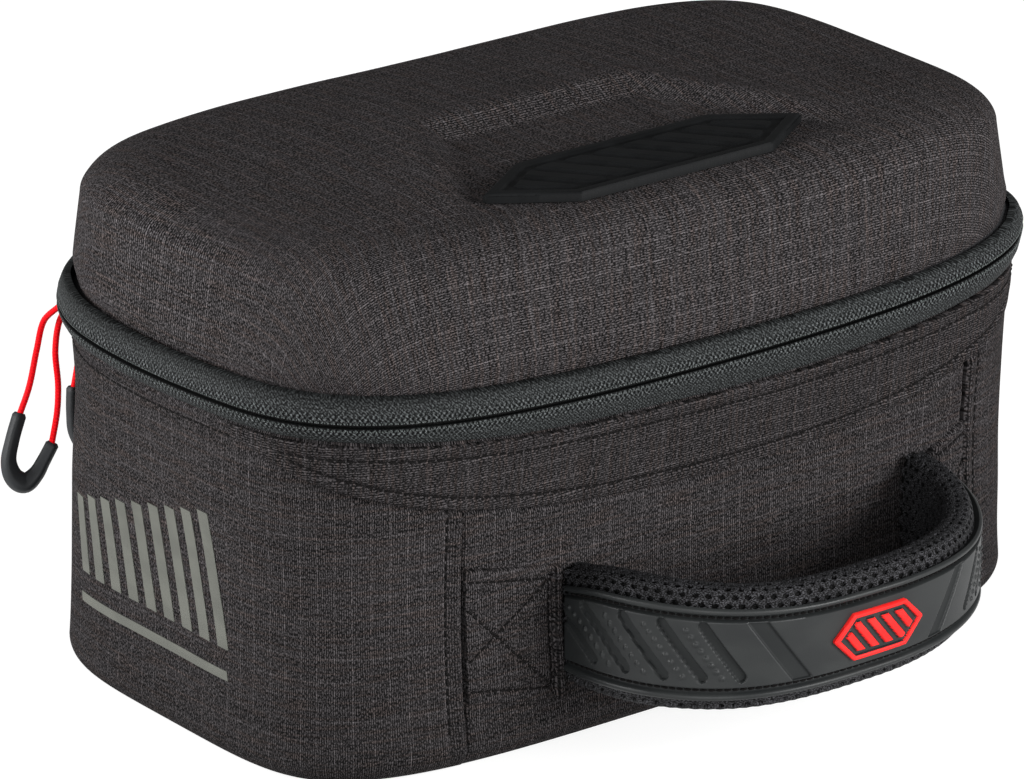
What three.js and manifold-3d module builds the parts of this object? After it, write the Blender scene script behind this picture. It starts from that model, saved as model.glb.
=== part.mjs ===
// Goggle case: a padded cloth base, a moulded lid on a cloth hinge, a zip all round the front,
// a padded carrying handle and two corded zip pulls.
// Millimetres, +Z up. The origin is the middle of the underside, the handle is on the -Y side.

import * as THREE from 'three';
import { mergeVertices } from 'three/addons/utils/BufferGeometryUtils.js';
import Module from 'manifold-3d';

// Overall form: the ridge of the zip is the widest line, a rounded rectangle in plan
const LENGTH = 300;
const DEPTH = 180;
const PLAN_POWER = 4.3;
const ZIP_HEIGHT = 120;
const ZIP_SAG = 5.8;
const GAP = 0.3;

// Cloth base
const WALL = 3;
const FLOOR_RADIUS = 9;
const BASE_INSET_LOW = 4.5;
const BASE_INSET_TOP = 3.9;
const WAIST = 4;
const SEAM_LEFT = -92;
const SEAM_RIGHT = 111;
const SEAM_FOLD = 0.9;

// Crescent yoke under the zip
const YOKE = { left: -146, right: 148, lowest: 75, tipHeight: 3, power: 2, thickness: 1.2 };

// Zip tapes and the hinge strip between their ends
const TAPE = { thickness: 1.6, lower: 9, upper: 6.8, bulge: 2.2, hingeHalf: 85 };

// Moulded lid
const LID = {
  wall: 4, inset: 4.1, draft: 3.7, top: 167, crown: 4, shoulderOut: 21.4, shoulderUp: 11.9,
};
const RECESS = { floor: 166.5, back: 8, halfAtBack: 40, slope: 0.556, ramp: 9 };
const LID_BADGE = { y: -51.5, half: 61, shoulderHalf: 37, depth: 33, thickness: 3 };

// Handle, a D in plan standing out from two patches
const HANDLE = {
  centre: 17.5, half: 72.5, reach: 64.4, powerLeft: 2.9, powerRight: 2.05, root: -81.6,
  height: 37, thickness: 11.5, level: 42, slope: 0.015,
};
const GRIP = { height: 27, thickness: 2.2, rim: 2.6, rimProud: 0.9, start: 0.035 };
const GRIP_BADGE = { half: 17, shoulderHalf: 10, height: 15, thickness: 1.4 };
const PATCH = { height: 39, level: 46, droop: 6, thickness: 2.4, clearance: 0.9 };

// Zip pulls: a moulded U on a cord loop. Each cord rises from the U's first leg, runs through the
// slider's eye and falls to the second leg.
const CORD_DIAMETER = 2;
const PULL_DIAMETER = 4.6;
const PULL_LEGS = [
  [-133.5, 92, 72.3], [-137, 91.5, 64], [-139, 91, 57.5], [-138, 90, 52], [-135, 88.5, 49.5],
  [-131.4, 87, 52.2], [-129.3, 85.5, 57.5], [-126.4, 84.5, 63],
];
const SLIDER = {
  length: 9, height: 8.8, thickness: 1.6, drop: 3.6, bridgeWidth: 3, bridgeOut: 3.3, eye: 1.6, eyeDrop: 1.4,
};
const PULLS = [
  {
    suffix: 'front',
    sliderX: -121,
    shift: [0, 0, 0],
    rise: [[-129.9, 92, 80], [-127, 91.5, 92], [-125.8, 89, 102]],
    fall: [[-121.6, 86.4, 102], [-124, 85.6, 93], [-123.8, 84.8, 81.5], [-124.6, 84.5, 73]],
  },
  {
    suffix: 'back',
    sliderX: -107,
    shift: [24.5, 5, 2.9],
    rise: [[-107.6, 97, 84], [-107.8, 96, 95], [-109.6, 92.5, 106]],
    fall: [[-103.5, 91, 104], [-102.5, 91, 92], [-101.5, 90, 78]],
  },
];

const HALF_LENGTH = LENGTH / 2;
const HALF_DEPTH = DEPTH / 2;
const FRONT = -1;
const BACK = 1;
const TURN = 2 * Math.PI;

const finish = (color, roughness, metalness = 0) =>
  new THREE.MeshStandardMaterial({ color, roughness, metalness });
const MATERIALS = {
  cloth: finish(0x2d2b2b, 0.92),
  tape: finish(0x2c302f, 0.85),
  mesh: finish(0x161617, 0.95),
  rubber: finish(0x26282a, 0.6),
  black: finish(0x17181a, 0.5),
  metal: finish(0x1a1b1d, 0.4, 0.6),
  red: finish(0xd4202c, 0.55),
};

const signedPower = (value, power) => Math.sign(value) * Math.abs(value) ** power;

// A stretch of the zip ridge seen in plan, counter-clockwise, angle 0 at +X
class PlanCurve extends THREE.Curve {
  constructor(from, to) {
    super();
    this.from = from;
    this.to = to;
    this.arcLengthDivisions = 600;
  }

  getPoint(t, target = new THREE.Vector3()) {
    const angle = THREE.MathUtils.lerp(this.from, this.to, t);
    const x = HALF_LENGTH * signedPower(Math.cos(angle), 2 / PLAN_POWER);
    const y = HALF_DEPTH * signedPower(Math.sin(angle), 2 / PLAN_POWER);
    return target.set(x, y, 0);
  }
}

// The curve's angle where the ridge passes x on the front or the back
const angleAt = (x, side) => side * Math.acos(signedPower(x / HALF_LENGTH, PLAN_POWER / 2));

function outward(ridge) {
  const x = signedPower(ridge.x / HALF_LENGTH, PLAN_POWER - 1) / HALF_LENGTH;
  const y = signedPower(ridge.y / HALF_DEPTH, PLAN_POWER - 1) / HALF_DEPTH;
  return new THREE.Vector3(x, y, 0).normalize();
}

// A point at a height, moved in from the ridge line by an inset
function inFrom(ridge, inset, z) {
  const point = ridge.clone().addScaledVector(outward(ridge), -inset);
  point.z = z;
  return point;
}

// The zip dips in the middle of the front
function zipHeight(ridge) {
  const front = THREE.MathUtils.clamp(-ridge.y / HALF_DEPTH, 0, 1);
  return ZIP_HEIGHT - ZIP_SAG * (1 - (ridge.x / HALF_LENGTH) ** 2) * front;
}

const clothTop = (ridge) => zipHeight(ridge) - TAPE.lower - GAP;

// A closed wall between an outer and an inner face, each a grid over u (along) and v (up).
// A looped wall joins its ends, and a domed one closes at the top instead of having an upper edge.
function wallGeometry(outer, inner, columns, rows, { looped = false, domed = false } = {}) {
  const wide = looped ? columns : columns + 1;
  const positions = [];
  const index = [];
  for (const face of [outer, inner]) {
    for (let row = 0; row <= rows; row++) {
      for (let column = 0; column < wide; column++) {
        positions.push(...face(column / columns, row / rows).toArray());
      }
    }
  }
  const at = (side, column, row) => (side * (rows + 1) + row) * wide + (column % wide);
  const quad = (a, b, c, d) => index.push(a, b, c, a, c, d);
  for (let column = 0; column < columns; column++) {
    const next = column + 1;
    for (let row = 0; row < rows; row++) {
      quad(at(0, column, row), at(0, next, row), at(0, next, row + 1), at(0, column, row + 1));
      quad(at(1, column, row), at(1, column, row + 1), at(1, next, row + 1), at(1, next, row));
    }
    quad(at(1, column, 0), at(1, next, 0), at(0, next, 0), at(0, column, 0));
    if (!domed) {
      quad(at(0, column, rows), at(0, next, rows), at(1, next, rows), at(1, column, rows));
    }
  }
  if (!looped) {
    for (let row = 0; row < rows; row++) {
      quad(at(1, 0, row), at(0, 0, row), at(0, 0, row + 1), at(1, 0, row + 1));
      quad(at(0, columns, row), at(1, columns, row), at(1, columns, row + 1), at(0, columns, row + 1));
    }
  }
  if (domed) {
    for (const [side, face] of [outer, inner].entries()) {
      const pole = positions.length / 3;
      positions.push(...face(0, 1, true).toArray());
      for (let column = 0; column < columns; column++) {
        const pair = [at(side, column, rows), at(side, column + 1, rows)];
        index.push(...(side ? pair.reverse() : pair), pole);
      }
    }
  }
  const geometry = new THREE.BufferGeometry();
  geometry.setAttribute('position', new THREE.Float32BufferAttribute(positions, 3));
  geometry.setIndex(index);
  return geometry;
}

// Base walls
// How far in the cloth stands from the ridge at a height: the soft walls are drawn in at the waist
function wallInset(ridge, z) {
  const k = THREE.MathUtils.clamp((z - FLOOR_RADIUS) / (clothTop(ridge) - FLOOR_RADIUS), 0, 1);
  return THREE.MathUtils.lerp(BASE_INSET_LOW, BASE_INSET_TOP, k) + WAIST * 4 * k * (1 - k);
}

// The front panel's outer face between the seams
function frontWallY(x, z) {
  const ridge = new PlanCurve(angleAt(x, FRONT), 0).getPoint(0);
  return inFrom(ridge, wallInset(ridge, z) + SEAM_FOLD, z).y;
}

// A wall panel, from the rounded floor edge up to the zip tape
function panelGeometry(from, to, columns, setBack) {
  const ROUND_SHARE = 0.3;
  const ROWS = 10;
  const ridges = new PlanCurve(from, to).getSpacedPoints(columns);
  const face = (depth) => (u, v) => {
    const ridge = ridges[Math.round(u * columns)];
    if (v <= ROUND_SHARE) {
      const turn = (v / ROUND_SHARE) * Math.PI / 2;
      const radius = FLOOR_RADIUS - depth;
      const inset = BASE_INSET_LOW + depth + setBack + radius * (1 - Math.sin(turn));
      return inFrom(ridge, inset, FLOOR_RADIUS - radius * Math.cos(turn));
    }
    const k = (v - ROUND_SHARE) / (1 - ROUND_SHARE);
    const z = THREE.MathUtils.lerp(FLOOR_RADIUS, clothTop(ridge), k);
    return inFrom(ridge, wallInset(ridge, z) + depth + setBack, z);
  };
  return wallGeometry(face(0), face(WALL), columns, ROWS);
}

// The long panels are set back under the end panels' folded edges
const LONG_COLUMNS = 10;
const END_COLUMNS = 14;
// The gap left at each upright seam, as an angle of the plan curve
const SEAM_GAP = 0.002;
const seam = {
  frontLeft: angleAt(SEAM_LEFT, FRONT),
  frontRight: angleAt(SEAM_RIGHT, FRONT),
  backRight: angleAt(SEAM_RIGHT, BACK),
  backLeft: angleAt(SEAM_LEFT, BACK),
};
const longPanel = (from, to) => panelGeometry(from + SEAM_GAP, to - SEAM_GAP, LONG_COLUMNS, SEAM_FOLD);
const endPanel = (from, to) => panelGeometry(from, to, END_COLUMNS, 0);

function bottomGeometry() {
  const COLUMNS = 64;
  const inset = BASE_INSET_LOW + SEAM_FOLD + FLOOR_RADIUS + GAP;
  const ridges = new PlanCurve(0, TURN).getSpacedPoints(COLUMNS);
  const outline = ridges.slice(0, COLUMNS).map((ridge) => {
    const point = inFrom(ridge, inset, 0);
    return new THREE.Vector2(point.x, point.y);
  });
  return new THREE.ExtrudeGeometry(new THREE.Shape(outline), { depth: WALL, bevelEnabled: false });
}

// The crescent's lower edge sweeps from tip to tip along the wall
function yokeGeometry() {
  const COLUMNS = 36;
  const ROWS = 3;
  const curve = new PlanCurve(angleAt(YOKE.left, FRONT), angleAt(YOKE.right, FRONT));
  const ridges = curve.getSpacedPoints(COLUMNS);
  const face = (proud) => (u, v) => {
    const ridge = ridges[Math.round(u * COLUMNS)];
    const top = clothTop(ridge);
    const tip = top - YOKE.tipHeight;
    const low = YOKE.lowest + (tip - YOKE.lowest) * Math.abs(2 * u - 1) ** YOKE.power;
    const z = THREE.MathUtils.lerp(low, top, v);
    return inFrom(ridge, wallInset(ridge, z) - proud, z);
  };
  return wallGeometry(face(GAP + YOKE.thickness), face(GAP), COLUMNS, ROWS);
}

// Zip: the tapes swell outward and meet at the ridge
// The height is measured from the ridge, positive on the lid's side
function tapeInset(height) {
  const share = height < 0 ? -height / TAPE.lower : height / TAPE.upper;
  const edge = height < 0 ? BASE_INSET_TOP : LID.inset;
  return edge * share ** TAPE.bulge;
}

function tapeGeometry(from, to, low, high, columns, rows) {
  const ridges = new PlanCurve(from, to).getSpacedPoints(columns);
  const face = (depth) => (u, v) => {
    const ridge = ridges[Math.round(u * columns)];
    const height = THREE.MathUtils.lerp(low, high, v);
    return inFrom(ridge, tapeInset(height) + depth, zipHeight(ridge) + height);
  };
  return wallGeometry(face(0), face(TAPE.thickness), columns, rows);
}

const ZIP_FROM = angleAt(-TAPE.hingeHalf - GAP, BACK);
const ZIP_TO = TURN + angleAt(TAPE.hingeHalf + GAP, BACK);
const ZIP_COLUMNS = 60;
const ZIP_ROWS = 2;
const lowerTape = () => tapeGeometry(ZIP_FROM, ZIP_TO, -TAPE.lower, -GAP / 2, ZIP_COLUMNS, ZIP_ROWS);
const upperTape = () => tapeGeometry(ZIP_FROM, ZIP_TO, GAP / 2, TAPE.upper, ZIP_COLUMNS, ZIP_ROWS);

function hingeGeometry() {
  const from = angleAt(TAPE.hingeHalf, BACK);
  const to = angleAt(-TAPE.hingeHalf, BACK);
  const COLUMNS = 10;
  const ROWS = 6;
  return tapeGeometry(from, to, -TAPE.lower, TAPE.upper, COLUMNS, ROWS);
}

// Lid: an upright wall, a rounded shoulder and a slightly crowned top with a pressed recess
function pressRecess(point, depth) {
  const halfWidth = RECESS.halfAtBack + RECESS.slope * (RECESS.back - point.y);
  const side = THREE.MathUtils.smoothstep(halfWidth - Math.abs(point.x), 0, RECESS.ramp);
  const back = THREE.MathUtils.smoothstep(RECESS.back - point.y, 0, RECESS.ramp);
  const above = Math.max(0, point.z - (RECESS.floor - depth));
  point.z -= above * side * back;
  return point;
}

function lidGeometry() {
  const COLUMNS = 60;
  const WALL_ROWS = 2;
  const SHOULDER_ROWS = 4;
  const TOP_ROWS = 7;
  const ROWS = WALL_ROWS + SHOULDER_ROWS + TOP_ROWS;
  const ridges = new PlanCurve(0, TURN).getSpacedPoints(COLUMNS);
  const shoulderLow = LID.top - LID.shoulderUp;
  const face = (depth) => (u, v, pole = false) => {
    const ridge = ridges[Math.round(u * COLUMNS)];
    const row = Math.round(v * ROWS);
    const inset = LID.inset + depth;
    if (row <= WALL_ROWS) {
      const k = row / WALL_ROWS;
      const low = zipHeight(ridge) + TAPE.upper + GAP;
      return inFrom(ridge, inset + LID.draft * k, THREE.MathUtils.lerp(low, shoulderLow, k));
    }
    const point = inFrom(ridge, inset + LID.draft, 0);
    const turn = Math.min(1, (row - WALL_ROWS) / SHOULDER_ROWS) * Math.PI / 2;
    const drawn = (LID.shoulderOut - depth) * (1 - Math.cos(turn));
    const rim = inset + LID.draft;
    const topRow = Math.max(0, row - WALL_ROWS - SHOULDER_ROWS);
    const spread = pole ? 0 : 1 - topRow / (TOP_ROWS + 1);
    point.x *= (1 - drawn / (HALF_LENGTH - rim)) * spread;
    point.y *= (1 - drawn / (HALF_DEPTH - rim)) * spread;
    point.z = shoulderLow + (LID.shoulderUp - depth) * Math.sin(turn) + LID.crown * (1 - spread ** 2);
    return pressRecess(point, depth);
  };
  return wallGeometry(face(0), face(LID.wall), COLUMNS, ROWS, { looped: true, domed: true });
}

// A plain long hexagon, pointed at both ends
function hexagon(half, shoulderHalf, height) {
  const shape = new THREE.Shape();
  shape.moveTo(-half, 0);
  shape.lineTo(-shoulderHalf, -height / 2);
  shape.lineTo(shoulderHalf, -height / 2);
  shape.lineTo(half, 0);
  shape.lineTo(shoulderHalf, height / 2);
  shape.lineTo(-shoulderHalf, height / 2);
  shape.closePath();
  return shape;
}

function lidBadgeGeometry() {
  const shape = hexagon(LID_BADGE.half, LID_BADGE.shoulderHalf, LID_BADGE.depth);
  const geometry = new THREE.ExtrudeGeometry(shape, { depth: LID_BADGE.thickness, bevelEnabled: false });
  return geometry.translate(0, LID_BADGE.y, RECESS.floor + GAP);
}

// Handle
// The pad's outer face in plan, from the left root out and round to the right root
class HandleCurve extends THREE.Curve {
  getPoint(t, target = new THREE.Vector3()) {
    const angle = Math.PI * (1 - t);
    const power = 2 / (t < 0.5 ? HANDLE.powerLeft : HANDLE.powerRight);
    const x = HANDLE.centre + HANDLE.half * signedPower(Math.cos(angle), power);
    const y = HANDLE.root - HANDLE.reach * signedPower(Math.sin(angle), power);
    return target.set(x, y, HANDLE.level + HANDLE.slope * (x - HANDLE.centre));
  }
}
const HANDLE_CURVE = new HandleCurve();

// A point on the handle, moved outward from the pad's outer face and up from its middle
function onHandle(u, out, up) {
  const point = HANDLE_CURVE.getPointAt(u);
  const along = HANDLE_CURVE.getTangentAt(u);
  const side = new THREE.Vector3(along.y, -along.x, 0).normalize();
  point.addScaledVector(side, out);
  point.z += up;
  return point;
}

function padGeometry() {
  const COLUMNS = 30;
  const ROWS = 6;
  const EDGE = 0.35;
  // The pad is fullest at mid height and thins to its rolled edges
  const half = (v) => (HANDLE.thickness / 2) * (EDGE + (1 - EDGE) * Math.sqrt(1 - (2 * v - 1) ** 4));
  const face = (side) => (u, v) => {
    const out = side * half(v) - HANDLE.thickness / 2;
    const point = onHandle(u, out, HANDLE.height * (v - 0.5));
    if (u === 0 || u === 1) {
      point.y = frontWallY(point.x, point.z) - GAP;
    }
    return point;
  };
  return wallGeometry(face(1), face(-1), COLUMNS, ROWS);
}

// The grip's rows run from edge to edge: a raised rim, the face and the other rim
const GRIP_ROWS = [
  { up: -0.5, inner: 0, proud: GRIP.rimProud },
  { up: -0.5, inner: GRIP.rim, proud: GRIP.rimProud },
  { up: -0.5, inner: GRIP.rim + GAP, proud: 0 },
  { up: 0.5, inner: GRIP.rim + GAP, proud: 0 },
  { up: 0.5, inner: GRIP.rim, proud: GRIP.rimProud },
  { up: 0.5, inner: 0, proud: GRIP.rimProud },
];

function gripGeometry() {
  const COLUMNS = 26;
  const last = GRIP_ROWS.length - 1;
  const face = (outer) => (u, v) => {
    const row = GRIP_ROWS[Math.round(v * last)];
    const up = row.up * GRIP.height - Math.sign(row.up) * row.inner;
    const out = outer ? GAP + GRIP.thickness + row.proud : GAP;
    return onHandle(THREE.MathUtils.lerp(GRIP.start, 1 - GRIP.start, u), out, up);
  };
  return wallGeometry(face(true), face(false), COLUMNS, last);
}

// The badge is bent along the grip, with its two slanted ends drawn as a taper in height
function gripBadgeGeometry() {
  const COLUMNS = 8;
  const length = HANDLE_CURVE.getLength();
  const TIP = 0.12;
  const face = (out) => (u, v) => {
    const along = GRIP_BADGE.half * (2 * u - 1);
    const past = Math.max(0, Math.abs(along) - GRIP_BADGE.shoulderHalf);
    const share = 1 - (1 - TIP) * past / (GRIP_BADGE.half - GRIP_BADGE.shoulderHalf);
    return onHandle(0.5 + along / length, out, GRIP_BADGE.height * share * (v - 0.5));
  };
  const low = GRIP.thickness + 2 * GAP;
  return wallGeometry(face(low + GRIP_BADGE.thickness), face(low), COLUMNS, 2);
}

// A tab on the front wall, its handle side hanging a little lower
function patchGeometry(left, right, droopAt) {
  const COLUMNS = 5;
  const ROWS = 4;
  const ridges = new PlanCurve(angleAt(left, FRONT), angleAt(right, FRONT)).getSpacedPoints(COLUMNS);
  const face = (proud) => (u, v) => {
    const ridge = ridges[Math.round(u * COLUMNS)];
    const droop = PATCH.droop * Math.abs(u - droopAt);
    const z = PATCH.level - droop + PATCH.height * (v - 0.5);
    return inFrom(ridge, wallInset(ridge, z) + SEAM_FOLD - proud, z);
  };
  return wallGeometry(face(GAP + PATCH.thickness), face(GAP), COLUMNS, ROWS);
}

// Zip pulls
const wasm = await Module();
wasm.setup();

function toSolid(geometry) {
  const bare = geometry.clone();
  bare.deleteAttribute('normal');
  bare.deleteAttribute('uv');
  const merged = mergeVertices(bare);
  const vertProperties = new Float32Array(merged.attributes.position.array);
  const triVerts = new Uint32Array(merged.index.array);
  return new wasm.Manifold(new wasm.Mesh({ numProp: 3, vertProperties, triVerts }));
}

function joined(...geometries) {
  const mesh = geometries.map(toSolid).reduce((whole, next) => whole.add(next)).getMesh();
  const geometry = new THREE.BufferGeometry();
  geometry.setAttribute('position', new THREE.Float32BufferAttribute(mesh.vertProperties, 3));
  geometry.setIndex(Array.from(mesh.triVerts));
  return geometry;
}

// A slider lies on the ridge: local X runs along the zip, Y outward and Z up.
// A plate with a bridge, whose eye runs along the zip
function sliderGeometry() {
  const plate = new THREE.BoxGeometry(SLIDER.length, SLIDER.thickness, SLIDER.height);
  plate.translate(0, SLIDER.thickness / 2, 0);
  const EYE_WALL = 1;
  const half = SLIDER.eye + EYE_WALL;
  const foot = SLIDER.thickness / 2;
  const side = new THREE.Shape();
  side.moveTo(foot, -half);
  side.lineTo(SLIDER.bridgeOut, -half);
  side.absarc(SLIDER.bridgeOut, 0, half, -Math.PI / 2, Math.PI / 2, false);
  side.lineTo(foot, half);
  side.closePath();
  side.holes.push(new THREE.Path().absarc(SLIDER.bridgeOut, 0, SLIDER.eye, 0, TURN, true));
  const extrusion = { depth: SLIDER.bridgeWidth, bevelEnabled: false, curveSegments: 6 };
  const bridge = new THREE.ExtrudeGeometry(side, extrusion);
  bridge.translate(0, -SLIDER.eyeDrop, -SLIDER.bridgeWidth / 2);
  // The profile was drawn outward and up: turn it so that its depth runs along the zip
  bridge.applyMatrix4(new THREE.Matrix4().makeBasis(
    new THREE.Vector3(0, 1, 0), new THREE.Vector3(0, 0, 1), new THREE.Vector3(1, 0, 0)));
  return joined(plate, bridge);
}

function tube(points, diameter, sides, steps) {
  const section = new THREE.Shape().absarc(0, 0, diameter / 2, 0, TURN, false);
  const extrudePath = new THREE.CatmullRomCurve3(points);
  return new THREE.ExtrudeGeometry(section, { steps, extrudePath, curveSegments: sides / 2 });
}

// Where one slider sits: its seat and eye, and the directions along the zip and outward
function sliderPlace(pull) {
  const ridge = new PlanCurve(angleAt(pull.sliderX, BACK), TURN).getPoint(0);
  const out = outward(ridge);
  const along = new THREE.Vector3(-out.y, out.x, 0);
  const seat = inFrom(ridge, -2 * GAP, zipHeight(ridge) - SLIDER.drop);
  const eye = seat.clone().addScaledVector(out, SLIDER.bridgeOut);
  eye.z -= SLIDER.eyeDrop;
  return { seat, eye, out, along };
}

const vectors = (points) => points.map((point) => new THREE.Vector3(...point));

function pullPoints(pull) {
  const shift = new THREE.Vector3(...pull.shift);
  return vectors(PULL_LEGS).map((point) => point.add(shift));
}

const pullGeometry = (pull) => tube(pullPoints(pull), PULL_DIAMETER, 10, 16);

// The cord's bend on each side of the eye, clear of the bridge
const EYE_BEND = [
  { along: 1.6, drop: 0 },
  { along: 2.9, drop: 0.9 },
  { along: 3.2, drop: 3.4 },
];

function cordPoints(pull) {
  const { eye, along } = sliderPlace(pull);
  const legs = pullPoints(pull);
  const leave = (top, below) => top.clone().addScaledVector(top.clone().sub(below).normalize(), 2 * GAP);
  const bend = (side) => EYE_BEND.map((row) => {
    const point = eye.clone().addScaledVector(along, side * row.along);
    point.z -= row.drop;
    return point;
  });
  return [
    leave(legs.at(0), legs.at(1)), ...vectors(pull.rise), ...bend(1).reverse(), eye,
    ...bend(-1), ...vectors(pull.fall), leave(legs.at(-1), legs.at(-2)),
  ];
}

const cordGeometry = (pull) => tube(cordPoints(pull), CORD_DIAMETER, 8, 28);

// Assembly
function piece(name, geometry, material) {
  const mesh = new THREE.Mesh(geometry, material);
  mesh.name = name;
  return mesh;
}

function basePieces() {
  const base = new THREE.Group();
  base.add(
    piece('front_panel', longPanel(seam.frontLeft, seam.frontRight), MATERIALS.cloth),
    piece('end_panel_right', endPanel(seam.frontRight, seam.backRight), MATERIALS.cloth),
    piece('back_panel', longPanel(seam.backRight, seam.backLeft), MATERIALS.cloth),
    piece('end_panel_left', endPanel(seam.backLeft, seam.frontLeft + TURN), MATERIALS.cloth),
    piece('bottom_panel', bottomGeometry(), MATERIALS.cloth),
    piece('front_yoke', yokeGeometry(), MATERIALS.cloth),
    piece('base_tape', lowerTape(), MATERIALS.tape),
    piece('hinge_strip', hingeGeometry(), MATERIALS.cloth),
  );
  return base;
}

function handlePieces() {
  const handle = new THREE.Group();
  const leftRoot = HANDLE.centre - HANDLE.half - PATCH.clearance;
  // The right patch lies where the wall begins to turn, so its edge needs a wider clearance
  const rightRoot = HANDLE.centre + HANDLE.half + 2 * PATCH.clearance;
  handle.add(
    piece('patch_left', patchGeometry(SEAM_LEFT + PATCH.clearance, leftRoot, 0), MATERIALS.cloth),
    piece('patch_right', patchGeometry(rightRoot, SEAM_RIGHT - PATCH.clearance, 1), MATERIALS.cloth),
    piece('handle_pad', padGeometry(), MATERIALS.mesh),
    piece('handle_grip', gripGeometry(), MATERIALS.rubber),
    piece('grip_badge', gripBadgeGeometry(), MATERIALS.red),
  );
  return handle;
}

function pullPieces() {
  const pulls = new THREE.Group();
  for (const pull of PULLS) {
    const { seat, out, along } = sliderPlace(pull);
    const slider = piece(`slider_${pull.suffix}`, sliderGeometry(), MATERIALS.metal);
    const turned = new THREE.Matrix4().makeBasis(along.clone().negate(), out, new THREE.Vector3(0, 0, 1));
    slider.applyMatrix4(turned);
    slider.position.copy(seat);
    pulls.add(
      slider,
      piece(`cord_${pull.suffix}`, cordGeometry(pull), MATERIALS.red),
      piece(`pull_${pull.suffix}`, pullGeometry(pull), MATERIALS.black),
    );
  }
  return pulls;
}

function lidPieces() {
  const lid = new THREE.Group();
  lid.add(
    piece('lid_shell', lidGeometry(), MATERIALS.cloth),
    piece('lid_tape', upperTape(), MATERIALS.tape),
    piece('lid_badge', lidBadgeGeometry(), MATERIALS.black),
  );
  return lid;
}

const goggleCase = new THREE.Group();
goggleCase.add(basePieces(), handlePieces(), pullPieces(), lidPieces());

export default goggleCase;
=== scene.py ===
"""Looks of a goggle case: cloth walls, moulded lid, zip, padded handle and corded pulls.

The shape classes work in millimetres and the meshes are written in metres.
+Z is up, the handle is on the -Y side and the zip pulls are at -X.
"""

import logging
import math
from abc import ABC, abstractmethod
from dataclasses import dataclass, field
from enum import Enum
from functools import cached_property
from typing import Any, Mapping, Optional, Sequence, Union

import bmesh
import bpy
import numpy as np
from mathutils import Matrix, Vector


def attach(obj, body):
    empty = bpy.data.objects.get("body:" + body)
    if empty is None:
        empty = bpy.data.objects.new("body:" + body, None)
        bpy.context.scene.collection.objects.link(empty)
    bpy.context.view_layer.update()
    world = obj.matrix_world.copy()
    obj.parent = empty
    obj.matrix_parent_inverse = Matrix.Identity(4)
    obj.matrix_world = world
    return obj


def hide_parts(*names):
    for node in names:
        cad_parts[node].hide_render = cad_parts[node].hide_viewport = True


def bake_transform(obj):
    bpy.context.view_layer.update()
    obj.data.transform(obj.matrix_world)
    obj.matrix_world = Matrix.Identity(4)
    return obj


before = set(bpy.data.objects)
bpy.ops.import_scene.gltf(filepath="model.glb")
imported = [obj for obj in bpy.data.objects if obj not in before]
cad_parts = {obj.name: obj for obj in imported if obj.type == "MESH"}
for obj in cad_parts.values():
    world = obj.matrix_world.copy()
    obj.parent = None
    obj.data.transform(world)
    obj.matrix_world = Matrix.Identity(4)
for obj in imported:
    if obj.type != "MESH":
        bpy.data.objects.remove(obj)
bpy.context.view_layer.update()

log = logging.getLogger("goggle_case")

MM = 0.001
TURN = 2 * math.pi
WEAVE_MAP = "Weave"
ENDS = [0, -1]

Array = np.ndarray
Pair = tuple[float, float]
Place = tuple[float, float, float]
Colour = tuple[float, float, float, float]
Material = bpy.types.Material
Object = bpy.types.Object


class Side(Enum):
    """Which long side of the case a place is on."""

    FRONT = -1
    BACK = 1


class Grain(Enum):
    """Which way the cloth's slubs run on its weave map."""

    LEVEL = "level"
    UPRIGHT = "upright"


class Body(Enum):
    """The bodies that the hinge joins."""

    BASE = "base"
    LID = "lid"


def signed_power(value: Array, power: float) -> Array:
    """Raises the size of a value to a power and keeps its sign."""
    return np.sign(value) * np.abs(value) ** power


def smooth(value: Array, low: float, high: float) -> Array:
    """Eases from 0 at low to 1 at high."""
    share = np.clip((value - low) / (high - low), 0.0, 1.0)
    return share * share * (3.0 - 2.0 * share)


def groove(distance: Array, width: float) -> Array:
    """A soft bell that is 1 on a line and fades over a width."""
    return np.exp(-((distance / width) ** 2))


def roll(distance: Array, radius: float) -> Array:
    """How far a rolled edge falls away at a distance inside it."""
    inside = np.clip(radius - distance, 0.0, radius)
    return radius - np.sqrt(np.maximum(radius * radius - inside * inside, 0.0))


def paint(code: str) -> Colour:
    """Turns a six-digit screen colour into linear light.

    Args:
        code: Red, green and blue as hexadecimal digits.

    Returns:
        The linear colour with full alpha.
    """
    channels = [int(code[i:i + 2], 16) / 255 for i in (0, 2, 4)]
    linear = [c / 12.92 if c <= 0.04045 else ((c + 0.055) / 1.055) ** 2.4 for c in channels]
    return (linear[0], linear[1], linear[2], 1.0)


def unit(vectors: Array) -> Array:
    """Scales vectors to length one."""
    return vectors / np.maximum(np.linalg.norm(vectors, axis=-1, keepdims=True), 1e-9)


def shares(count: int) -> Array:
    """A column of even steps from 0 to 1."""
    return np.linspace(0.0, 1.0, count)[:, None]


def closed(row: Array) -> Array:
    """A ring's row with its first value again at the end."""
    return np.append(row, row[0])


def flat_run(x: Array, y: Array) -> Array:
    """Distance run along a flat line at each of its points."""
    return np.concatenate([[0.0], np.cumsum(np.hypot(np.diff(x), np.diff(y)))])


def run_along(points: Array) -> Array:
    """Distance run along a line at each of its points."""
    return np.concatenate([[0.0], np.cumsum(np.linalg.norm(np.diff(points, axis=0), axis=1))])


def read_along(at: Array, run: Array, rows: Array) -> Array:
    """Reads rows of three at distances along a line."""
    return np.stack([np.interp(at, run, rows[:, k]) for k in range(3)], 1)


@dataclass(frozen=True)
class Mark:
    """Height and width of a soft mark, which is sunk where its height is below 0."""

    height: float
    width: float

    def at(self, distance: Array) -> Array:
        """The height at a distance from the mark's middle."""
        return self.height * groove(distance, self.width)


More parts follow.
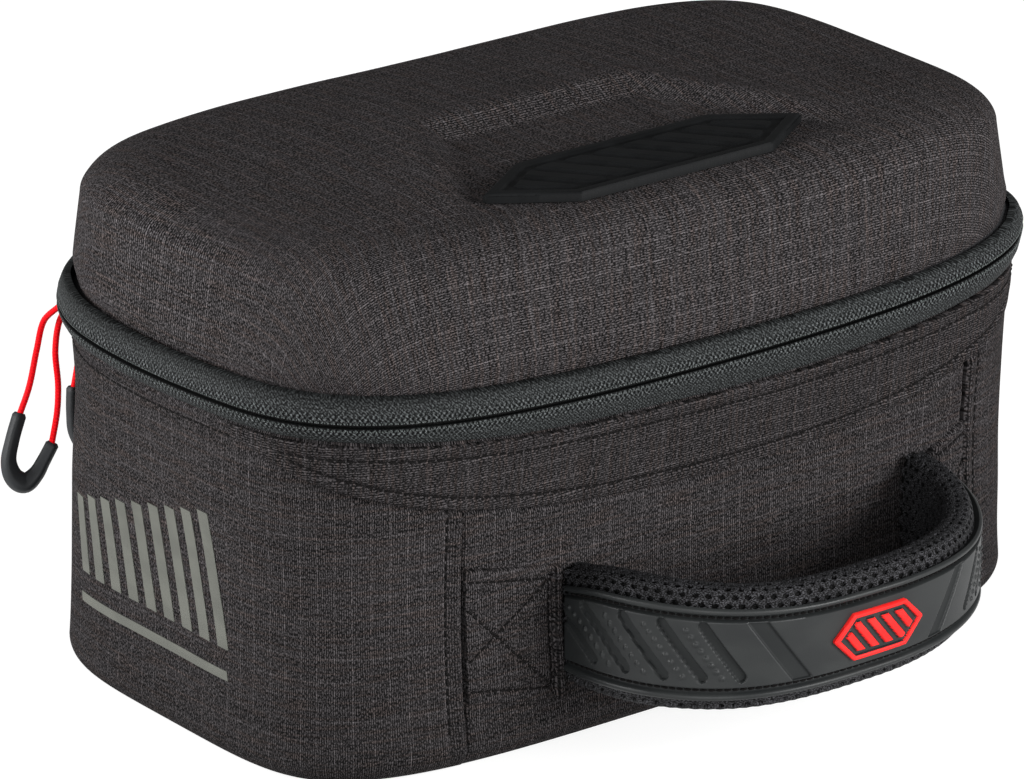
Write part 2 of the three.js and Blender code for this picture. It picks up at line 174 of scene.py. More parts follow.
class Ripple:
    """Smooth repeatable unevenness over a plane, from a seeded lattice."""

    CELLS = 64

    def __init__(self, seed: int) -> None:
        """Draws the lattice for one seed."""
        self.lattice = np.random.default_rng(seed).uniform(-1.0, 1.0, (self.CELLS, self.CELLS))

    def at(self, u: Array, v: Array, size: float) -> Array:
        """Reads the unevenness.

        Args:
            u: Places along one direction.
            v: Places along the other direction.
            size: Width of one swelling.

        Returns:
            Values from -1 to 1.
        """
        u, v = np.broadcast_arrays(np.asarray(u) / size, np.asarray(v) / size)
        i, j = np.floor(u).astype(int), np.floor(v).astype(int)
        a, b = smooth(u - i, 0.0, 1.0), smooth(v - j, 0.0, 1.0)
        low = self._knot(i, j) * (1 - a) + self._knot(i + 1, j) * a
        high = self._knot(i, j + 1) * (1 - a) + self._knot(i + 1, j + 1) * a
        return low * (1 - b) + high * b

    def swell(self, u: Array, v: Array, mark: Mark) -> Array:
        """Swellings of one height and width."""
        return self.at(u, v, mark.width) * mark.height

    def _knot(self, i: Array, j: Array) -> Array:
        """The lattice's values, which repeat past its last cell."""
        return self.lattice[i % self.CELLS, j % self.CELLS]


# Shader expressions
class Signal:
    """A socket's value that takes part in Python expressions."""

    def __init__(self, sheet: "NodeSheet", socket: bpy.types.NodeSocket) -> None:
        """Wraps one output socket of a sheet."""
        self.sheet = sheet
        self.socket = socket

    def _with(self, operation: str, *terms: Any) -> "Signal":
        """Adds one Math node for an operation on the terms."""
        sockets = dict(enumerate(terms))
        made = self.sheet.node("ShaderNodeMath", {"operation": operation}, sockets)
        return Signal(self.sheet, made.outputs[0])

    def __add__(self, other: Any) -> "Signal":
        """Sum."""
        return self._with("ADD", self, other)

    __radd__ = __add__

    def __sub__(self, other: Any) -> "Signal":
        """Difference."""
        return self._with("SUBTRACT", self, other)

    def __rsub__(self, other: Any) -> "Signal":
        """Difference from a number."""
        return self._with("SUBTRACT", other, self)

    def __mul__(self, other: Any) -> "Signal":
        """Product."""
        return self._with("MULTIPLY", self, other)

    __rmul__ = __mul__

    def __truediv__(self, other: Any) -> "Signal":
        """Quotient."""
        return self._with("DIVIDE", self, other)

    def __abs__(self) -> "Signal":
        """Size without sign."""
        return self._with("ABSOLUTE", self)

    def sine(self) -> "Signal":
        """Sine of an angle."""
        return self._with("SINE", self)

    def between(self, low: float, high: float) -> "Signal":
        """Eases from 0 at low to 1 at high."""
        settings = {"interpolation_type": "SMOOTHSTEP"}
        sockets = {"Value": self, "From Min": low, "From Max": high}
        made = self.sheet.node("ShaderNodeMapRange", settings, sockets)
        return Signal(self.sheet, made.outputs[0])


class NodeSheet:
    """The nodes of one material."""

    MIX_A, MIX_B, MIX_OUT = 6, 7, 2

    def __init__(self, name: str) -> None:
        """Starts an empty material."""
        self.material = bpy.data.materials.new(name)
        self.material.use_nodes = True
        self.tree = self.material.node_tree
        self.tree.nodes.clear()

    def node(self, kind: str, settings: Optional[Mapping[str, Any]] = None,
             sockets: Optional[Mapping[Union[str, int], Any]] = None) -> bpy.types.Node:
        """Adds a node.

        Args:
            kind: Blender's node type.
            settings: Properties that are set first, such as a Math node's operation.
            sockets: A value, or a Signal to link, for each named or numbered input.

        Returns:
            The node.
        """
        made = self.tree.nodes.new(kind)
        for key, value in (settings or {}).items():
            setattr(made, key, value)
        for key, value in (sockets or {}).items():
            if isinstance(value, Signal):
                self.tree.links.new(value.socket, made.inputs[key])
            else:
                made.inputs[key].default_value = value
        return made

    def weave(self) -> tuple[Signal, Signal]:
        """The two coordinates of the weave map, in metres."""
        uv = self.node("ShaderNodeUVMap", {"uv_map": WEAVE_MAP})
        parts = self.node("ShaderNodeSeparateXYZ", None, {0: Signal(self, uv.outputs[0])})
        return Signal(self, parts.outputs[0]), Signal(self, parts.outputs[1])

    def noise(self, u: Signal, v: Signal, length: float, width: float, detail: float = 1.0) -> Signal:
        """Noise drawn out along u.

        Args:
            u: Coordinate along the streaks, in metres.
            v: Coordinate across them, in metres.
            length: Length of a streak in millimetres.
            width: Width of a streak in millimetres.
            detail: Octaves of finer noise.

        Returns:
            The noise, from 0 to 1.
        """
        place = self.node("ShaderNodeCombineXYZ", None, {0: u / (length * MM), 1: v / (width * MM)})
        sockets = {"Vector": Signal(self, place.outputs[0]), "Scale": 1.0, "Detail": detail}
        made = self.node("ShaderNodeTexNoise", {"noise_dimensions": "2D"}, sockets)
        return Signal(self, made.outputs[0])

    def mix(self, share: Signal, low: Any, high: Any) -> Signal:
        """Blends two colours by a share."""
        settings = {"data_type": "RGBA"}
        made = self.node("ShaderNodeMix", settings, {0: share, self.MIX_A: low, self.MIX_B: high})
        return Signal(self, made.outputs[self.MIX_OUT])

    def bump(self, height: Signal, strength: float, depth: float) -> Signal:
        """A bumped normal from a height of 0 to 1 over a depth in millimetres."""
        sockets = {"Height": height, "Strength": strength, "Distance": depth * MM}
        return Signal(self, self.node("ShaderNodeBump", None, sockets).outputs[0])

    def surface(self, sockets: Mapping[Union[str, int], Any]) -> Material:
        """Ends the sheet with a Principled shader.

        Args:
            sockets: Values and links for the shader's inputs.

        Returns:
            The finished material.
        """
        shader = self.node("ShaderNodeBsdfPrincipled", None, sockets)
        self.node("ShaderNodeOutputMaterial", None, {"Surface": Signal(self, shader.outputs[0])})
        return self.material


# Finishes
class Finish(ABC):
    """A surface finish that becomes one Blender material."""

    @abstractmethod
    def material(self) -> Material:
        """Makes the material."""


@dataclass(frozen=True)
class HeatherCloth(Finish):
    """Charcoal heathered cloth: a tight plain weave, soft slubs and a grid of lighter threads."""

    name: str
    grain: Grain = Grain.LEVEL
    dark: str = "080808"
    light: str = "7c7779"
    warm: str = "7d7270"
    slub: Pair = (8.0, 0.6)
    band: Pair = (50.0, 4.0)
    speck: Pair = (0.8, 0.44)
    rib: float = 0.8
    line: Pair = (6.3, 6.6)
    # Painted shade: the first factor below darkens the cloth over its lowest 70 mm up the wall, and shade
    # dims each copy to suit how the light falls on it.
    painted_low_shade: float = 0.28
    shade: float = 0.8

    def thread_line(self, sheet: NodeSheet, across: Signal, along: Signal, pitch: float) -> Signal:
        """Thin lighter threads at a pitch, broken and a little uneven along their length."""
        drift = sheet.noise(along, across, 70.0, 9.0) * (0.35 * pitch * MM)
        wave = ((across + drift) * (TURN / (pitch * MM))).sine() * 0.5 + 0.5
        broken = sheet.noise(along, across, 3.0, 2.0, 2.0).between(0.28, 0.58)
        return wave.between(0.978, 0.999) * broken

    def material(self) -> Material:
        """Makes the material."""
        sheet = NodeSheet(self.name)
        u, v = sheet.weave()
        low = v
        if self.grain is Grain.UPRIGHT:
            u, v = v, u
        slub = sheet.noise(u, v, *self.slub, detail=2.0).between(0.36, 0.72)
        band = sheet.noise(u, v, *self.band, detail=2.0).between(0.32, 0.7)
        speck = sheet.noise(v, u, *self.speck, detail=2.0).between(0.42, 0.6)
        wander = sheet.noise(u, v, 5.0, 5.0) * 3.0
        rib = ((u * (TURN / (self.rib * MM)) + wander).sine() * 0.5 + 0.5).between(0.05, 0.95)
        line = self.thread_line(sheet, u, v, self.line[0])
        cross = self.thread_line(sheet, v, u, self.line[1])
        tone = rib * speck * (slub * 0.09 + 0.3) + speck * 0.09 + rib * 0.02 + band * 0.03 + slub * 0.01
        tone = tone + line * (speck * 0.15 + 0.09) + cross * (speck * 0.11 + 0.06)
        # Painted shade: the cloth is darker towards the bottom of the wall, and each copy is dimmed by its
        # shade factor.
        tone = tone * (low.between(0.0, 0.07) * self.painted_low_shade + (1.0 - self.painted_low_shade)) * self.shade
        warmth = sheet.noise(u, v, 16.0, 1.2).between(0.45, 0.7)
        light = sheet.mix(warmth, paint(self.light), paint(self.warm))
        height = rib * 0.5 + speck * 0.4 + line * 0.25 + cross * 0.2
        return sheet.surface({
            "Base Color": sheet.mix(tone, paint(self.dark), light),
            "Roughness": 0.97 - slub * 0.08,
            "Normal": sheet.bump(height, 0.5, 0.12),
            "Specular IOR Level": 0.03,
        })


@dataclass(frozen=True)
class LiningCloth(Finish):
    """Plain dark lining with a fine even grain."""

    name: str = "lining_cloth"
    dark: str = "1b1b1c"
    light: str = "3a3a3c"
    pitch: float = 1.8

    def material(self) -> Material:
        """Makes the material."""
        sheet = NodeSheet(self.name)
        u, v = sheet.weave()
        turn = TURN / (self.pitch * MM)
        grid = (u * turn).sine() * (v * turn).sine() * 0.5 + 0.5
        fuzz = sheet.noise(u, v, 0.9, 0.9, 2.0).between(0.3, 0.7)
        return sheet.surface({
            "Base Color": sheet.mix(fuzz * 0.6 + grid * 0.3, paint(self.dark), paint(self.light)),
            "Roughness": 0.96 - fuzz * 0.1,
            "Normal": sheet.bump(grid * 0.6 + fuzz * 0.4, 0.5, 0.25),
            "Specular IOR Level": 0.08,
        })


@dataclass(frozen=True)
class TapeWeave(Finish):
    """Zip tape: a knobbly weave, coarsest beside the zip line. V is the height from the line."""

    name: str = "zip_tape_weave"
    dark: str = "040505"
    light: str = "8c9192"
    knot: Pair = (1.7, 2.2)
    twill: float = 0.95
    fleck: Pair = (0.6, 0.6)
    coarse: Pair = (2.6, 4.6)
    painted_lid_shade: Pair = (5.2, 8.0)
    slit: Pair = (0.5, 0.95)

    def material(self) -> Material:
        """Makes the material."""
        sheet = NodeSheet(self.name)
        u, v = sheet.weave()
        wobble = sheet.noise(u, v, 2.4, 1.8, 2.0) * 2.6
        across = (u * (TURN / (self.knot[0] * MM)) + wobble).sine()
        up = (v * (TURN / (self.knot[1] * MM)) + wobble).sine()
        near = 1.0 - abs(v).between(self.coarse[0] * MM, self.coarse[1] * MM)
        hole = (across * up * 0.5 + 0.5).between(0.52, 0.76)
        bead = (0.5 - across * up * 0.5).between(0.58, 0.92)
        twill = ((u * 0.8 + v) * (TURN / (self.twill * MM)) + wobble).sine() * 0.5 + 0.5
        fleck = sheet.noise(u, v, *self.fleck, detail=2.0).between(0.43, 0.6)
        knot = 1.0 - hole * (near * 0.62 + 0.35)
        yarn = (twill * 0.14 + 0.05) * (fleck * 1.3 + 0.15)
        tone = (yarn + bead * (near * 0.2 + 0.04) * (fleck * 0.8 + 0.4)) * knot
        # Painted shade: the upper tape darkens towards its sewn edge, under the lid's overhang.
        tone = tone * (1.0 - v.between(self.painted_lid_shade[0] * MM, self.painted_lid_shade[1] * MM) * 0.5)
        # Painted shade: the tape goes dark at the slit between the two tapes.
        tone = tone * abs(v).between(self.slit[0] * MM, self.slit[1] * MM)
        return sheet.surface({
            "Base Color": sheet.mix(tone, paint(self.dark), paint(self.light)),
            "Roughness": 0.85 - knot * 0.12,
            "Normal": sheet.bump(knot * 0.5 + bead * 0.3 + twill * 0.2, 0.7, 0.3),
            "Specular IOR Level": 0.08,
        })


@dataclass(frozen=True)
class NetYarn(Finish):
    """Black knitted spacer net."""

    name: str
    dark: str = "050505"
    light: str = "48484b"

    def material(self) -> Material:
        """Makes the material."""
        sheet = NodeSheet(self.name)
        u, v = sheet.weave()
        fibre = sheet.noise(u, v, 0.7, 0.35, 3.0).between(0.42, 0.64)
        patch = sheet.noise(u, v, 6.0, 6.0).between(0.3, 0.7)
        return sheet.surface({
            "Base Color": sheet.mix(fibre * (patch * 0.3 + 0.6), paint(self.dark), paint(self.light)),
            "Roughness": 0.7 - fibre * 0.15,
            "Normal": sheet.bump(fibre, 0.6, 0.2),
            "Specular IOR Level": 0.1,
        })


@dataclass(frozen=True)
class Moulded(Finish):
    """Moulded rubber or plastic with a fine matt grain and faint handling marks."""

    name: str
    dark: str
    light: str
    roughness: float = 0.5
    grain: float = 0.45
    depth: float = 0.05
    specular: float = 0.18
    cloud: Pair = (18.0, 9.0)

    def material(self) -> Material:
        """Makes the material."""
        sheet = NodeSheet(self.name)
        u, v = sheet.weave()
        grain = sheet.noise(u, v, self.grain, self.grain, 2.0)
        cloud = sheet.noise(u, v, *self.cloud, detail=2.0).between(0.3, 0.7)
        return sheet.surface({
            "Base Color": sheet.mix(cloud * 0.55 + grain * 0.45, paint(self.dark), paint(self.light)),
            "Roughness": grain * 0.16 + cloud * 0.08 + (self.roughness - 0.12),
            "Normal": sheet.bump(grain, 0.35, self.depth),
            "Specular IOR Level": self.specular,
        })


@dataclass(frozen=True)
class Braid(Finish):
    """Braided cord: U runs along the cord and V once round it."""

    name: str = "red_braid"
    dark: str = "c2000e"
    light: str = "fb0614"
    lay: float = 2.2
    strands: float = 8.0

    def material(self) -> Material:
        """Makes the material."""
        sheet = NodeSheet(self.name)
        u, v = sheet.weave()
        turn = v * (TURN * self.strands / 2 / MM)
        run = u * (TURN / (self.lay * MM))
        strand = ((run + turn).sine() * (run - turn).sine() * 0.5 + 0.5).between(0.1, 0.9)
        fibre = sheet.noise(u, v, 0.5, 0.08, 2.0)
        return sheet.surface({
            "Base Color": sheet.mix(strand * 0.7 + fibre * 0.3, paint(self.dark), paint(self.light)),
            "Roughness": 0.6 - strand * 0.1,
            "Normal": sheet.bump(strand * 0.8 + fibre * 0.2, 0.3, 0.1),
            "Specular IOR Level": 0.08,
        })


@dataclass(frozen=True)
class Thread(Finish):
    """Twisted sewing thread."""

    name: str = "sewing_thread"
    dark: str = "030303"
    light: str = "161414"
    lay: float = 0.6

    def material(self) -> Material:
        """Makes the material."""
        sheet = NodeSheet(self.name)
        u, v = sheet.weave()
        twist = ((u + v) * (TURN / (self.lay * MM))).sine() * 0.5 + 0.5
        return sheet.surface({
            "Base Color": sheet.mix(twist, paint(self.dark), paint(self.light)),
            "Roughness": 0.75 - twist * 0.15,
            "Specular IOR Level": 0.06,
        })


@dataclass(frozen=True)
class PaintedMetal(Finish):
    """Black painted metal, a little worn."""

    name: str = "black_metal"
    dark: str = "101112"
    light: str = "3c3e40"

    def material(self) -> Material:
        """Makes the material."""
        sheet = NodeSheet(self.name)
        u, v = sheet.weave()
        wear = sheet.noise(u, v, 3.0, 2.0, 3.0).between(0.55, 0.8)
        return sheet.surface({
            "Base Color": sheet.mix(wear, paint(self.dark), paint(self.light)),
            "Metallic": wear * 0.5 + 0.3,
            "Roughness": 0.42 - wear * 0.1,
        })


@dataclass(frozen=True)
class StudioPaper(Finish):
    """Pale seamless paper, lit from behind."""

    name: str = "studio_paper"
    shade: str = "8a8a89"
    glow: float = 0.84

    def material(self) -> Material:
        """Makes the material."""
        return NodeSheet(self.name).surface({
            "Base Color": paint(self.shade),
            "Roughness": 0.9,
            "Emission Color": paint("ffffff"),
            "Emission Strength": self.glow,
        })


def made_of(finish: Finish) -> Any:
    """A field that holds a finish's material."""
    return field(default_factory=finish.material)


@dataclass
class Finishes:
    """Every material of the case, made once."""

    # The cloth copies differ in grain and in their shade factor; the shade factor is painted shade, set
    # for how the light falls on the walls, the yoke and the lid.
    cloth: Material = made_of(HeatherCloth("heather_cloth"))
    upright: Material = made_of(
        HeatherCloth("heather_cloth_yoke", Grain.UPRIGHT, painted_low_shade=0.0, shade=0.7))
    moulded: Material = made_of(
        HeatherCloth("heather_cloth_lid", Grain.UPRIGHT, painted_low_shade=0.0, shade=0.96))
    lining: Material = made_of(LiningCloth())
    tape: Material = made_of(TapeWeave())
    net: Material = made_of(NetYarn("spacer_net"))
    core: Material = made_of(NetYarn("spacer_core", "020202", "080808"))
    coil: Material = made_of(NetYarn("coil_yarn", "2c302f", "7c8280"))
    rubber: Material = made_of(Moulded("grip_rubber", "1a1c1d", "252727", 0.46, specular=0.26))
    # A darker copy of the grip rubber for the floors of the slots, the band and the channel: painted shade
    # in the recesses.
    recess_shade_rubber: Material = made_of(Moulded("grip_rubber_recess_shade", "17191a", "202222", 0.6))
    badge: Material = made_of(Moulded("badge_rubber", "0a0b0c", "131415", 0.66, specular=0.1))
    red: Material = made_of(Moulded("red_rubber", "e01c1c", "f22c28", 0.5))
    ink: Material = made_of(Moulded("grey_print", "4c4d48", "5d5e58", 0.6))
    plastic: Material = made_of(Moulded("pull_plastic", "17181a", "2a2c2e", 0.55))
    braid: Material = made_of(Braid())
    thread: Material = made_of(Thread())
    metal: Material = made_of(PaintedMetal())


# Meshes
class PieceMesh:
    """Collects the points and faces of one piece, in millimetres."""

    SHARP = math.radians(48)

    def __init__(self) -> None:
        """Starts empty."""
        self.points: list[Array] = []
        self.count = 0
        self.corners: list[Array] = []
        self.places: list[Array] = []
        self.sizes: list[Array] = []
        self.finishes: list[Array] = []

    def add_points(self, points: Array) -> Array:
        """Adds points.

        Args:
            points: Any rows and columns of points.

        Returns:
            Their numbers, in the same rows and columns.
        """
        first = self.count
        self.points.append(points.reshape(-1, 3))
        self.count += len(self.points[-1])
        return np.arange(first, self.count).reshape(points.shape[:-1])

    def add_faces(self, corners: Array, places: Array, finish: Union[int, Array] = 0,
                  flip: bool = False) -> None:
        """Adds faces that have the same number of corners.

        Args:
            corners: Point numbers, one row a face.
            places: Weave coordinates of the corners.
            finish: Which of the piece's materials.
            flip: Turns the faces over.
        """
        corners, places = np.asarray(corners), np.asarray(places, float)
        if flip:
            corners, places = corners[:, ::-1], places[:, ::-1]
        self.corners.append(corners.ravel())
        self.places.append(places.reshape(-1, 2))
        self.sizes.append(np.full(len(corners), corners.shape[1]))
        self.finishes.append(np.broadcast_to(np.ravel(finish), len(corners)))

    def grid(self, points: Array, weave: Array, wrap: bool = False, finish: Union[int, Array] = 0,
             flip: bool = False) -> Array:
        """Adds a grid of quads.

        Args:
            points: Rows by columns by three.
            weave: Rows by columns by two, with one column more where it wraps.
            wrap: Joins the last column to the first.
            finish: Which of the piece's materials, for all faces or for each cell.
            flip: Turns the faces over.

        Returns:
            The point numbers, rows by columns.
        """
        number = self.add_points(points)
        shown = np.concatenate([number, number[:, :1]], 1) if wrap else number
        corners, places = self._cells(shown).reshape(-1, 4), self._cells(weave).reshape(-1, 4, 2)
        self.add_faces(corners, places, finish, flip)
        return number

    @staticmethod
    def _cells(grid: Array) -> Array:
        """The four corners of each cell of a grid."""
        return np.stack([grid[:-1, :-1], grid[:-1, 1:], grid[1:, 1:], grid[1:, :-1]], 2)

    def strip(self, first: Array, second: Array, places: Array, finish: int = 0) -> None:
        """Joins two lines of points with quads that share the first line's weave places."""
        corners = np.stack([first[:-1], first[1:], second[1:], second[:-1]], 1)
        uv = np.stack([places[:-1], places[1:], places[1:], places[:-1]], 1)
        self.add_faces(corners, uv, finish)

    def solid(self, outer: Array, inner: Array, outer_weave: Array, inner_weave: Array,
              inner_finish: int = 0, outer_finish: Union[int, Array] = 0) -> None:
        """Adds a closed slab between an outer and an inner grid with the same columns.

        Args:
            outer: The outer face's points.
            inner: The inner face's points, with any number of rows.
            outer_weave: Weave places of the outer face.
            inner_weave: Weave places of the inner face.
            inner_finish: The inner face's material.
            outer_finish: The outer face's material, for the whole face or for each cell.
        """
        out = self.grid(outer, outer_weave, finish=outer_finish)
        within = self.grid(inner, inner_weave, finish=inner_finish, flip=True)
        self.strip(within[0], out[0], outer_weave[0])
        self.strip(out[-1], within[-1], outer_weave[-1])
        for column, turned in ((0, False), (-1, True)):
            loop = np.concatenate([within[:, column], out[::-1, column]])
            place = np.concatenate([inner_weave[:, column], outer_weave[::-1, column]])
            self.add_faces(loop[None], place[None], 0, turned)

    def tube(self, rings: Array, weave: Array) -> None:
        """Adds a closed tube from rings of points, capped at both ends.

        Args:
            rings: Rings by sides by three.
            weave: Rings by sides plus one by two.
        """
        number = self.grid(rings, weave, wrap=True)
        self.add_faces(number[:1, ::-1], weave[:1, -2::-1])
        self.add_faces(number[-1:], weave[-1:, :-1])

    def build(self, name: str, *materials: Material) -> Object:
        """Makes the object, with its faces turned outward.

        Args:
            name: The piece's name.
            materials: Its materials, in the order that the faces number them.

        Returns:
            The object, linked to the scene.
        """
        points = np.concatenate(self.points) * MM
        corners = np.concatenate(self.corners)
        places = np.concatenate(self.places) * MM
        sizes = np.concatenate(self.sizes)
        starts = np.concatenate([[0], np.cumsum(sizes)[:-1]])
        mesh = bpy.data.meshes.new(name)
        mesh.vertices.add(len(points))
        mesh.vertices.foreach_set("co", points.astype(np.float32).ravel())
        mesh.loops.add(len(corners))
        mesh.loops.foreach_set("vertex_index", corners.astype(np.int32))
        mesh.polygons.add(len(sizes))
        mesh.polygons.foreach_set("loop_start", starts.astype(np.int32))
        mesh.polygons.foreach_set("material_index", np.concatenate(self.finishes).astype(np.int32))
        layer = mesh.uv_layers.new(name=WEAVE_MAP)
        layer.uv.foreach_set("vector", places.astype(np.float32).ravel())
        mesh.update(calc_edges=True)
        mesh.validate()
        shape = bmesh.new()
        shape.from_mesh(mesh)
        if shape.calc_volume(signed=True) < 0:
            mesh.flip_normals()
        shape.free()
        mesh.shade_smooth()
        mesh.set_sharp_from_angle(angle=self.SHARP)
        for material in materials:
            mesh.materials.append(material)
        made = bpy.data.objects.new(name, mesh)
        bpy.context.scene.collection.objects.link(made)
        return made


def fit(piece: Object, body: Body, slot: Optional[str] = None, *nodes: str) -> Object:
    """Fixes a piece to its body.

    Args:
        piece: The piece.
        body: The body that it moves with.
        slot: The record's material slot; not used.
        nodes: The solids that it stands for.

    Returns:
        The piece.
    """
    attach(piece, body.value)
    if nodes:
        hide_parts(*nodes)
    log.info("%s: %d faces on %s", piece.name, len(piece.data.polygons), body.value)
    return piece


@dataclass
class Line:
    """A line of points on a surface, with the surface's outward direction at each."""

    points: Array
    normals: Array

    def spaced(self, pitch: float) -> tuple[Array, Array, Array]:
        """Cuts the line into equal steps.

        Args:
            pitch: About how long a step is.

        Returns:
            The middle of each step, its direction and its outward direction.
        """
        run = run_along(self.points)
        count = max(1, round(run[-1] / pitch))
        at = (np.arange(count) + 0.5) * run[-1] / count
        ahead, behind = (read_along(at + step, run, self.points) for step in (pitch / 4, -pitch / 4))
        middles, normals = read_along(at, run, self.points), unit(read_along(at, run, self.normals))
        return middles, unit(ahead - behind), normals


@dataclass(frozen=True)
class Stitch:
    """One thread length as it shows between two needle holes."""

    pitch: float = 3.1
    length: float = 2.5
    radius: float = 0.45
    arch: float = 0.25
    sink: float = 0.1
    sides: int = 6
    stations: tuple[float, ...] = (-1.0, -0.72, 0.0, 0.72, 1.0)
    girths: tuple[float, ...] = (0.35, 0.85, 1.0, 0.85, 0.35)

    def sew(self, name: str, lines: Sequence[Line], thread: Material) -> None:
        """Makes one piece of all the stitches along some lines.

        Args:
            name: The piece's name.
            lines: Where the stitches run.
            thread: Their material.
        """
        mesh = PieceMesh()
        for line in lines:
            self.lay(mesh, *line.spaced(self.pitch))
        fit(mesh.build(name, thread), Body.BASE)

    def lay(self, mesh: PieceMesh, middles: Array, along: Array, normals: Array) -> None:
        """Lays one stitch at each place.

        Args:
            mesh: The piece to add to.
            middles: Where the stitches are.
            along: Which way each one runs.
            normals: Which way is out of the cloth.
        """
        across = unit(np.cross(normals, along))
        turn = np.arange(self.sides) * TURN / self.sides
        at, girth = np.array(self.stations), np.array(self.girths) * self.radius
        rise = self.arch * (1 - at * at) - self.sink
        points = (
            middles[:, None, None, :]
            + self._spread(along, np.repeat((at * self.length / 2)[:, None], self.sides, 1))
            + self._spread(across, girth[:, None] * np.cos(turn))
            + self._spread(normals, rise[:, None] + girth[:, None] * np.sin(turn))
        )
        weave = np.stack(np.broadcast_arrays(
            at[:, None] * self.length / 2, np.arange(self.sides + 1) * self.radius), -1)
        for stitch in points:
            mesh.tube(stitch, weave)

    @staticmethod
    def _spread(vectors: Array, part: Array) -> Array:
        """One vector for each stitch, scaled for each station and side."""
        return vectors[:, None, None, :] * part[None, :, :, None]


# The case's form, shared by every panel
@dataclass(frozen=True)
class CaseForm:
    """The zip ridge in plan, and the heights and insets that the panels follow."""

    length: float = 300.0
    depth: float = 180.0
    power: float = 4.3
    zip_level: float = 120.0
    zip_sag: float = 6.6
    left_sag: Mark = Mark(2.0, 38.0)
    left_middle: float = 5.0
    left_end: Pair = (120.0, 148.0)
    floor_radius: float = 9.0
    inset_low: float = 4.5
    inset_top: float = 3.9
    waist: float = 4.0
    end_waist: float = 1.8
    right_waist: float = 0.6
    tape_lower: float = 9.0
    tape_trim: float = 3.0
    trim_along: Pair = (-138.0, -55.0)
    tape_wide: Mark = Mark(1.8, 55.0)
    wide_middle: float = 30.0
    tape_upper: float = 7.2
    tape_lean: float = 0.011
    tape_swell: float = 2.2
    lid_inset: float = 4.1
    upper_inset: float = 2.1
    gap: float = 0.3
    crease: float = 1.1
    overhang: float = 0.9
    corner: Pair = (-0.79, 0.61)
    corner_ease: float = 3.0
    corner_facing: Pair = (0.78, 1.0)
    corner_rise: Pair = (60.0, 112.0)
    end_swell: float = 2.2
    end_facing: Pair = (0.7, 1.0)
    end_rise: Pair = (50.0, 108.0)
    end_fall: Pair = (127.0, 140.0)
    top_roll: float = 1.0
    top_tuck: float = 0.8
    seam_left: float = -92.0
    seam_right: float = 111.0
    seam_fold: float = 0.9
    samples: int = 24001

    @cached_property
    def table(self) -> tuple[Array, Array, Array, Array]:
        """The ridge's angles, x, y and distance run."""
        angle = np.linspace(0.0, TURN, self.samples)
        x = self.length / 2 * signed_power(np.cos(angle), 2 / self.power)
        y = self.depth / 2 * signed_power(np.sin(angle), 2 / self.power)
        return angle, x, y, flat_run(x, y)

    @property
    def around(self) -> float:
        """The ridge's whole length."""
        return float(self.table[3][-1])

    @property
    def quarter(self) -> float:
        """The length of the rounding between the floor and the walls."""
        return self.floor_radius * math.pi / 2

    def run_at(self, x: float, side: Side) -> float:
        """Distance along the ridge where it passes x on one side."""
        angle = side.value * math.acos(signed_power(x / (self.length / 2), self.power / 2))
        return float(np.interp(angle % TURN, self.table[0], self.table[3]))

    def ridge(self, run: Array) -> tuple[Array, Array]:
        """The ridge's x and y at a distance along it."""
        at = np.mod(run, self.around)
        return np.interp(at, self.table[3], self.table[1]), np.interp(at, self.table[3], self.table[2])

    def outward(self, run: Array) -> Array:
        """The level direction out of the case at a distance along the ridge."""
        x, y = self.ridge(run)
        nx = signed_power(x / (self.length / 2), self.power - 1) / self.length
        ny = signed_power(y / (self.depth / 2), self.power - 1) / self.depth
        return unit(np.stack([nx, ny, np.zeros_like(nx)], -1))

    def inward(self, run: Array, inset: Array, z: Array) -> Array:
        """Points inside the ridge, with the eased corner and the swelling end.

        Args:
            run: Distance along the ridge.
            inset: How far in from it.
            z: Height.

        Returns:
            The points.
        """
        run, inset, z = np.broadcast_arrays(run, inset, z)
        x, y = self.ridge(run)
        points = np.stack([x, y, z.astype(float)], -1)
        out = self.outward(run)
        facing = out[..., 0] * self.corner[0] + out[..., 1] * self.corner[1]
        ease = self.corner_ease * smooth(facing, *self.corner_facing) * smooth(z, *self.corner_rise)
        swell = self.end_swell * smooth(out[..., 0], *self.end_facing) * smooth(z, *self.end_rise)
        ease = ease - swell * (1 - smooth(z, *self.end_fall))
        return points - out * (inset + ease)[..., None]

    def zip_height(self, run: Array) -> Array:
        """The zip line's height, which dips in the middle of the front."""
        x, y = self.ridge(run)
        front = np.clip(-y / (self.depth / 2), 0.0, 1.0)
        left = self.left_sag.at(y - self.left_middle) * smooth(-x, *self.left_end)
        return self.zip_level - self.zip_sag * (1 - (x / (self.length / 2)) ** 2) * front - left

    def lower(self, run: Array) -> Array:
        """How much of the lower tape shows, which is less towards the left."""
        x, y = self.ridge(run)
        wide = self.tape_wide.at(x - self.wide_middle) * (y < 0)
        return self.tape_lower + wide - self.tape_trim * (1 - smooth(x, *self.trim_along))

    def upper(self, run: Array) -> Array:
        """How much of the upper tape shows, which is less towards the right."""
        return self.tape_upper - self.tape_lean * self.ridge(run)[0]

    def cloth_top(self, run: Array) -> Array:
        """The height where the wall's cloth meets the tape."""
        return self.zip_height(run) - self.lower(run) - self.crease

    def tuck(self, below: Array) -> Array:
        """How far the cloth's top edge turns in, at a distance below it."""
        return self.top_tuck * roll(below, self.top_roll)

    def climb_top(self, run: Array) -> Array:
        """The cloth's length up the wall, from the floor's edge to the tape."""
        return self.quarter + self.cloth_top(run) - self.floor_radius

    def climb_at(self, z: Array) -> Array:
        """The cloth's length up the wall at a height above the rounding."""
        return self.quarter + z - self.floor_radius

